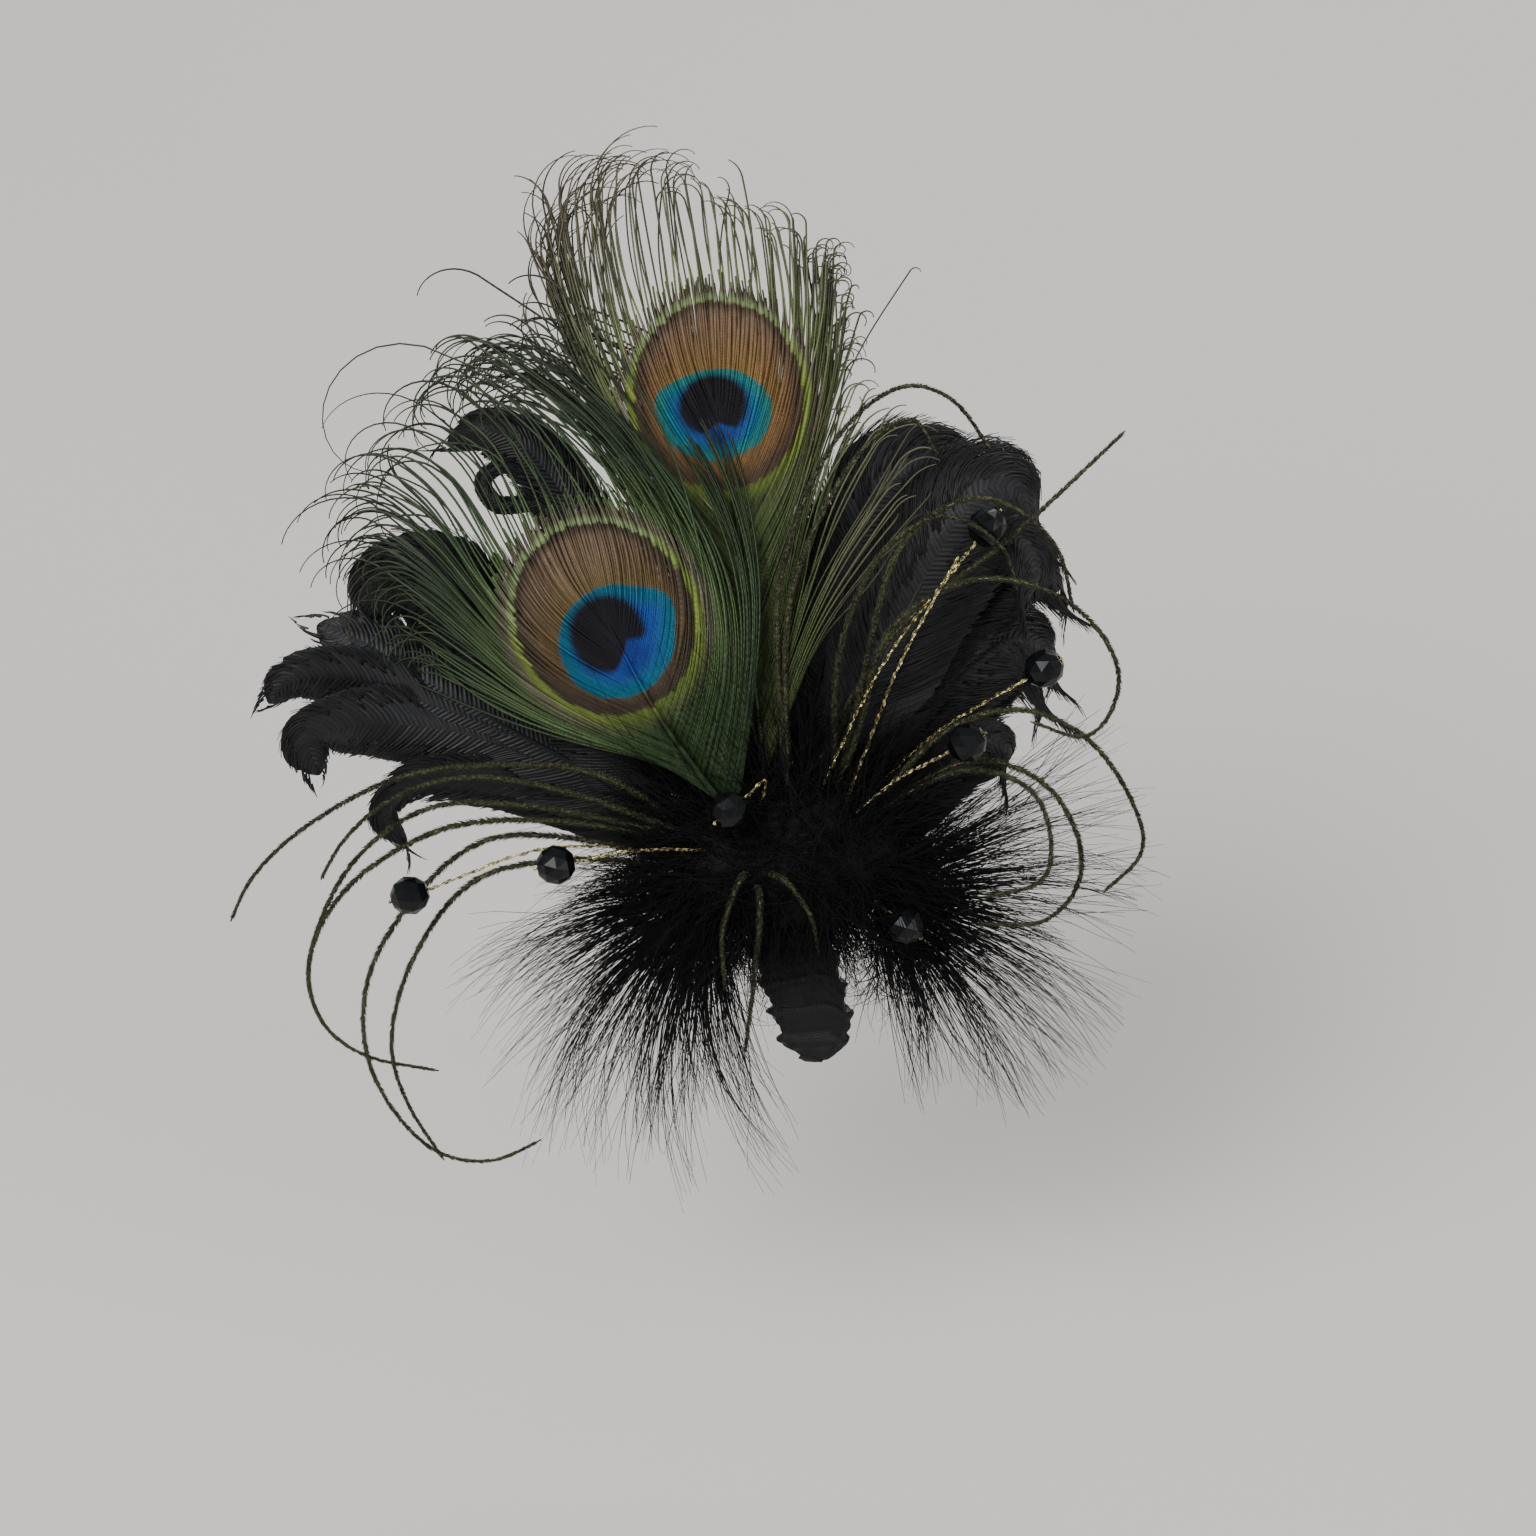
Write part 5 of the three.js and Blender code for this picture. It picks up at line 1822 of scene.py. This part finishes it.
SPRAYS = (
    HerlSpray("herl_right_high", (
        ((12, 17, 15), (16.6, 30, 19), (23, 50, 25), (38, 59.4, 28), (53, 57.6, 31), (64, 49, 31),
         (67.8, 39, 30), (62, 28.5, 28), (50.4, 31.6, 26)),
        ((12, 17, 15), (16.6, 36, 20), (26, 68, 27), (41, 75.6, 31), (54.6, 67, 31), (59, 53, 27)),
        ((12, 17, 15), (13, 46, 20), (22, 66, 27), (34, 72, 29), (45, 65.6, 28), (47.8, 57.6, 25)),
    ), 51),
    HerlSpray("herl_right_low", (
        ((17, 12, 13.5), (35, 30.4, 19), (49, 34, 22), (61, 29, 22), (70, 18, 19), (73.6, 6, 15),
         (66, -2.6, 11)),
        ((17, 12, 13.5), (38, 22, 16), (51, 18, 19), (55, 8, 19), (53.4, 0, 17), (42, -3.4, 14)),
        ((17, 12, 13.5), (40, 24, 15), (54, 19, 18), (60.6, 8, 18), (60.6, -1, 15), (54, -8.4, 12),
         (41, -9, 9)),
    ), 52),
    HerlSpray("herl_top", (
        ((2.5, 17, 16.5), (0.6, 56, 22), (6, 76, 25), (15, 91, 27), (26, 97.8, 29), (35, 95, 28),
         (42.6, 85.4, 25)),
        ((2.5, 17, 16.5), (3, 56, 22), (11, 76, 25), (19, 87, 27), (27, 91.5, 28), (32, 84.4, 26)),
    ), 53),
    HerlSpray("herl_spike", (((7, 18, 12), (22, 47, 20), (50, 71, 21.5), (69.6, 89.4, 20)),), 54),
    HerlSpray("herl_left_high", (
        ((-14, 8, 14), (-35, 21, 18), (-55, 23, 21), (-75, 20.4, 22), (-95, 9.6, 18), (-105, 0, 14),
         (-109.4, -8.4, 10)),
        ((-14, 8, 14), (-43, 18, 19), (-61, 20.6, 21), (-75, 17, 21), (-86, 8, 17), (-91, 0, 13)),
        ((-14, 8, 14), (-51, 15, 18), (-69, 14.4, 20), (-83, 5, 17), (-92, -10, 10), (-94.4, -22, 4),
         (-91.4, -30.4, 0)),
        ((-14, 8, 14), (-49, 12, 17), (-67, 10, 19), (-86, -2, 15), (-94, -17, 8), (-92, -29, 2),
         (-84, -36, -2), (-68.6, -39.4, -4)),
    ), 55),
    HerlSpray("herl_left_low", (
        ((-15, 2, 10), (-38, 8, 13), (-58, 8, 13), (-72, -3, 9.5), (-82.6, -21, 4), (-82, -40, -3),
         (-70, -56, -8), (-58, -58.4, -10), (-48, -54, -11)),
        ((-15, 2, 10), (-40, 4, 12), (-60, 0, 11), (-73, -16, 6), (-78, -34, 0), (-75, -46, -4),
         (-67.8, -58, -8)),
    ), 56),
    HerlSpray("herl_low", (
        ((-4, 2, 16), (-7, 0, 22), (-10.4, -10, 19.5), (-10, -22, 11)),
        ((-4, 2, 16), (-3, -5, 22), (-4, -18, 16), (-6, -35, 5)),
        ((-4, 2, 16), (2, 0, 23), (7, -7, 20), (8.6, -15, 13)),
    ), 57),
)


@dataclass
class BeadThreads:
    """The gold threads, each from the puff and straight through its bead.

    A row holds the bead's middle, the thread's start and a place that it passes on the way. The thread
    runs straight from just before the bead to its knot behind it. tail is the thread that ends free.
    """

    straight: float = 5.5
    behind: float = 4.2
    rows: tuple[Places, ...] = (
        ((-72.8, -3, 17.5), (-13, 4.5, 10.5), (-45, 6.5, 18.5)),
        ((-43.4, 3.2, 24.2), (-10, 6, 15.5), (-28, 6, 23.5)),
        ((-9, 14, 27), (-3, 15, 19), (-2, 20, 23)),
        ((53.4, 42.2, 22), (15, 14, 9.5), (33, 30, 15)),
        ((38, 27.4, 23.5), (12, 10, 16), (24, 20, 20.5)),
        ((26, -9, 14), (14, 0, 10.5), (20, -4, 15)),
        ((42, 70, 24.5), (8, 16, 17), (22, 44, 23)),
    )
    tail: Places = ((14, 15.5, 17.5), (18, 26, 22), (25, 44, 30), (36, 64, 33))

    def build(self) -> None:
        """Make every thread."""
        for number, (at, start, by) in enumerate(self.rows, 1):
            middle, way = np.array(at), unit(np.array(at) - np.array(by))
            places = (start, by, tuple(middle - self.straight * way), tuple(middle + self.behind * way))
            GoldThread("thread_%d" % number, places).build()
        GoldThread("thread_tail", self.tail, knot=False).build()


@dataclass
class KeptSolids:
    """Solids of the frame whose shape is right, which only get their finish."""

    finishes: dict[str, Finish] = field(default_factory=lambda: {
        **{"bead_%d" % number: BEAD for number in range(1, 8)}, "hair_clip": ENAMEL,
    })

    def build(self) -> None:
        """Give each solid its finish."""
        for node, finish in self.finishes.items():
            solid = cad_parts[node]
            solid.material_slots[0].material = finish.material()
            LOG.info("%s: %s", node, finish.name)


@dataclass
class Studio:
    """A pale floor, soft lights and the camera, which looks straight at the seat.

    aim is on the seat, distance and floor_drop are millimetres, and floor_half is metres. Each lamp has
    its place in metres, the side of its square, and its power.
    """

    aim: tuple[float, float, float] = (-1.4, 22.4, 15.0)
    distance: float = 900.0
    lens: float = 105.5
    floor_drop: float = 45.0
    floor_half: float = 4.0
    sky: Colour = (0.78, 0.80, 0.84)
    sky_strength: float = 0.55
    lamps: tuple[tuple[str, tuple[float, float, float], float, float], ...] = (
        ("key", (-0.9, -0.9, 1.5), 1.1, 34.0),
        ("fill", (1.3, -0.8, 0.9), 1.2, 12.0),
        ("rim", (0.3, 1.3, 1.2), 0.9, 14.0),
    )

    def camera(self) -> None:
        """Place the camera."""
        lens = bpy.data.cameras.new("camera")
        lens.lens = self.lens
        lens.clip_start = 0.05
        camera = bpy.data.objects.new("camera", lens)
        sine, cosine = math.sin(SEAT_RISE), math.cos(SEAT_RISE)
        turn = Matrix(((1, 0, 0), (0, sine, -cosine), (0, cosine, sine))).to_4x4()
        place = seat(np.array(self.aim) + self.distance * OUT)
        camera.matrix_world = Matrix.Translation(place) @ turn
        bpy.context.scene.collection.objects.link(camera)
        bpy.context.scene.camera = camera

    def lamp(self, name: str, place: tuple[float, float, float], size: float, watts: float) -> None:
        """Hang a square soft light that faces the piece.

        Args:
            name: its name.
            place: where it hangs, in metres.
            size: the side of its square.
            watts: its power.
        """
        light = bpy.data.lights.new(name, "AREA")
        light.size = size
        light.energy = watts
        lamp = bpy.data.objects.new(name, light)
        lamp.location = place
        lamp.rotation_euler = Vector(place).to_track_quat("Z", "Y").to_euler()
        bpy.context.scene.collection.objects.link(lamp)

    def build(self) -> None:
        """Set the floor, the light and the camera."""
        low = min(corner[2] for corner in CAD_BOX)
        mesh = bpy.data.meshes.new("ground")
        half, level = self.floor_half, low - self.floor_drop * MM
        corners = ((-half, -half), (half, -half), (half, half), (-half, half))
        mesh.from_pydata([(x, y, level) for x, y in corners], [], [(0, 1, 2, 3)])
        mesh.materials.append(GROUND.material())
        floor = bpy.data.objects.new("ground", mesh)
        bpy.context.scene.collection.objects.link(floor)
        world = bpy.data.worlds.new("studio")
        world.use_nodes = True
        sky = world.node_tree.nodes["Background"]
        sky.inputs["Color"].default_value = (*self.sky, 1.0)
        sky.inputs["Strength"].default_value = self.sky_strength
        bpy.context.scene.world = world
        for row in self.lamps:
            self.lamp(*row)
        self.camera()


def main() -> None:
    """Build every sub-assembly in order and note the sizes."""
    logging.basicConfig(level=logging.INFO, format="%(message)s")
    Studio().build()
    RibbonStrip("base_strip").build()
    for assembly in (*GEESE, *PLUMES, UPPER, LOWER, *SPRAYS):
        assembly.build()
    Puff("marabou_puff", (2, 5.8, 12.15), (25, 17.4, 8.75), seed=40).build()
    BeadThreads().build()
    KeptSolids().build()


if __name__ == "__main__":
    main()
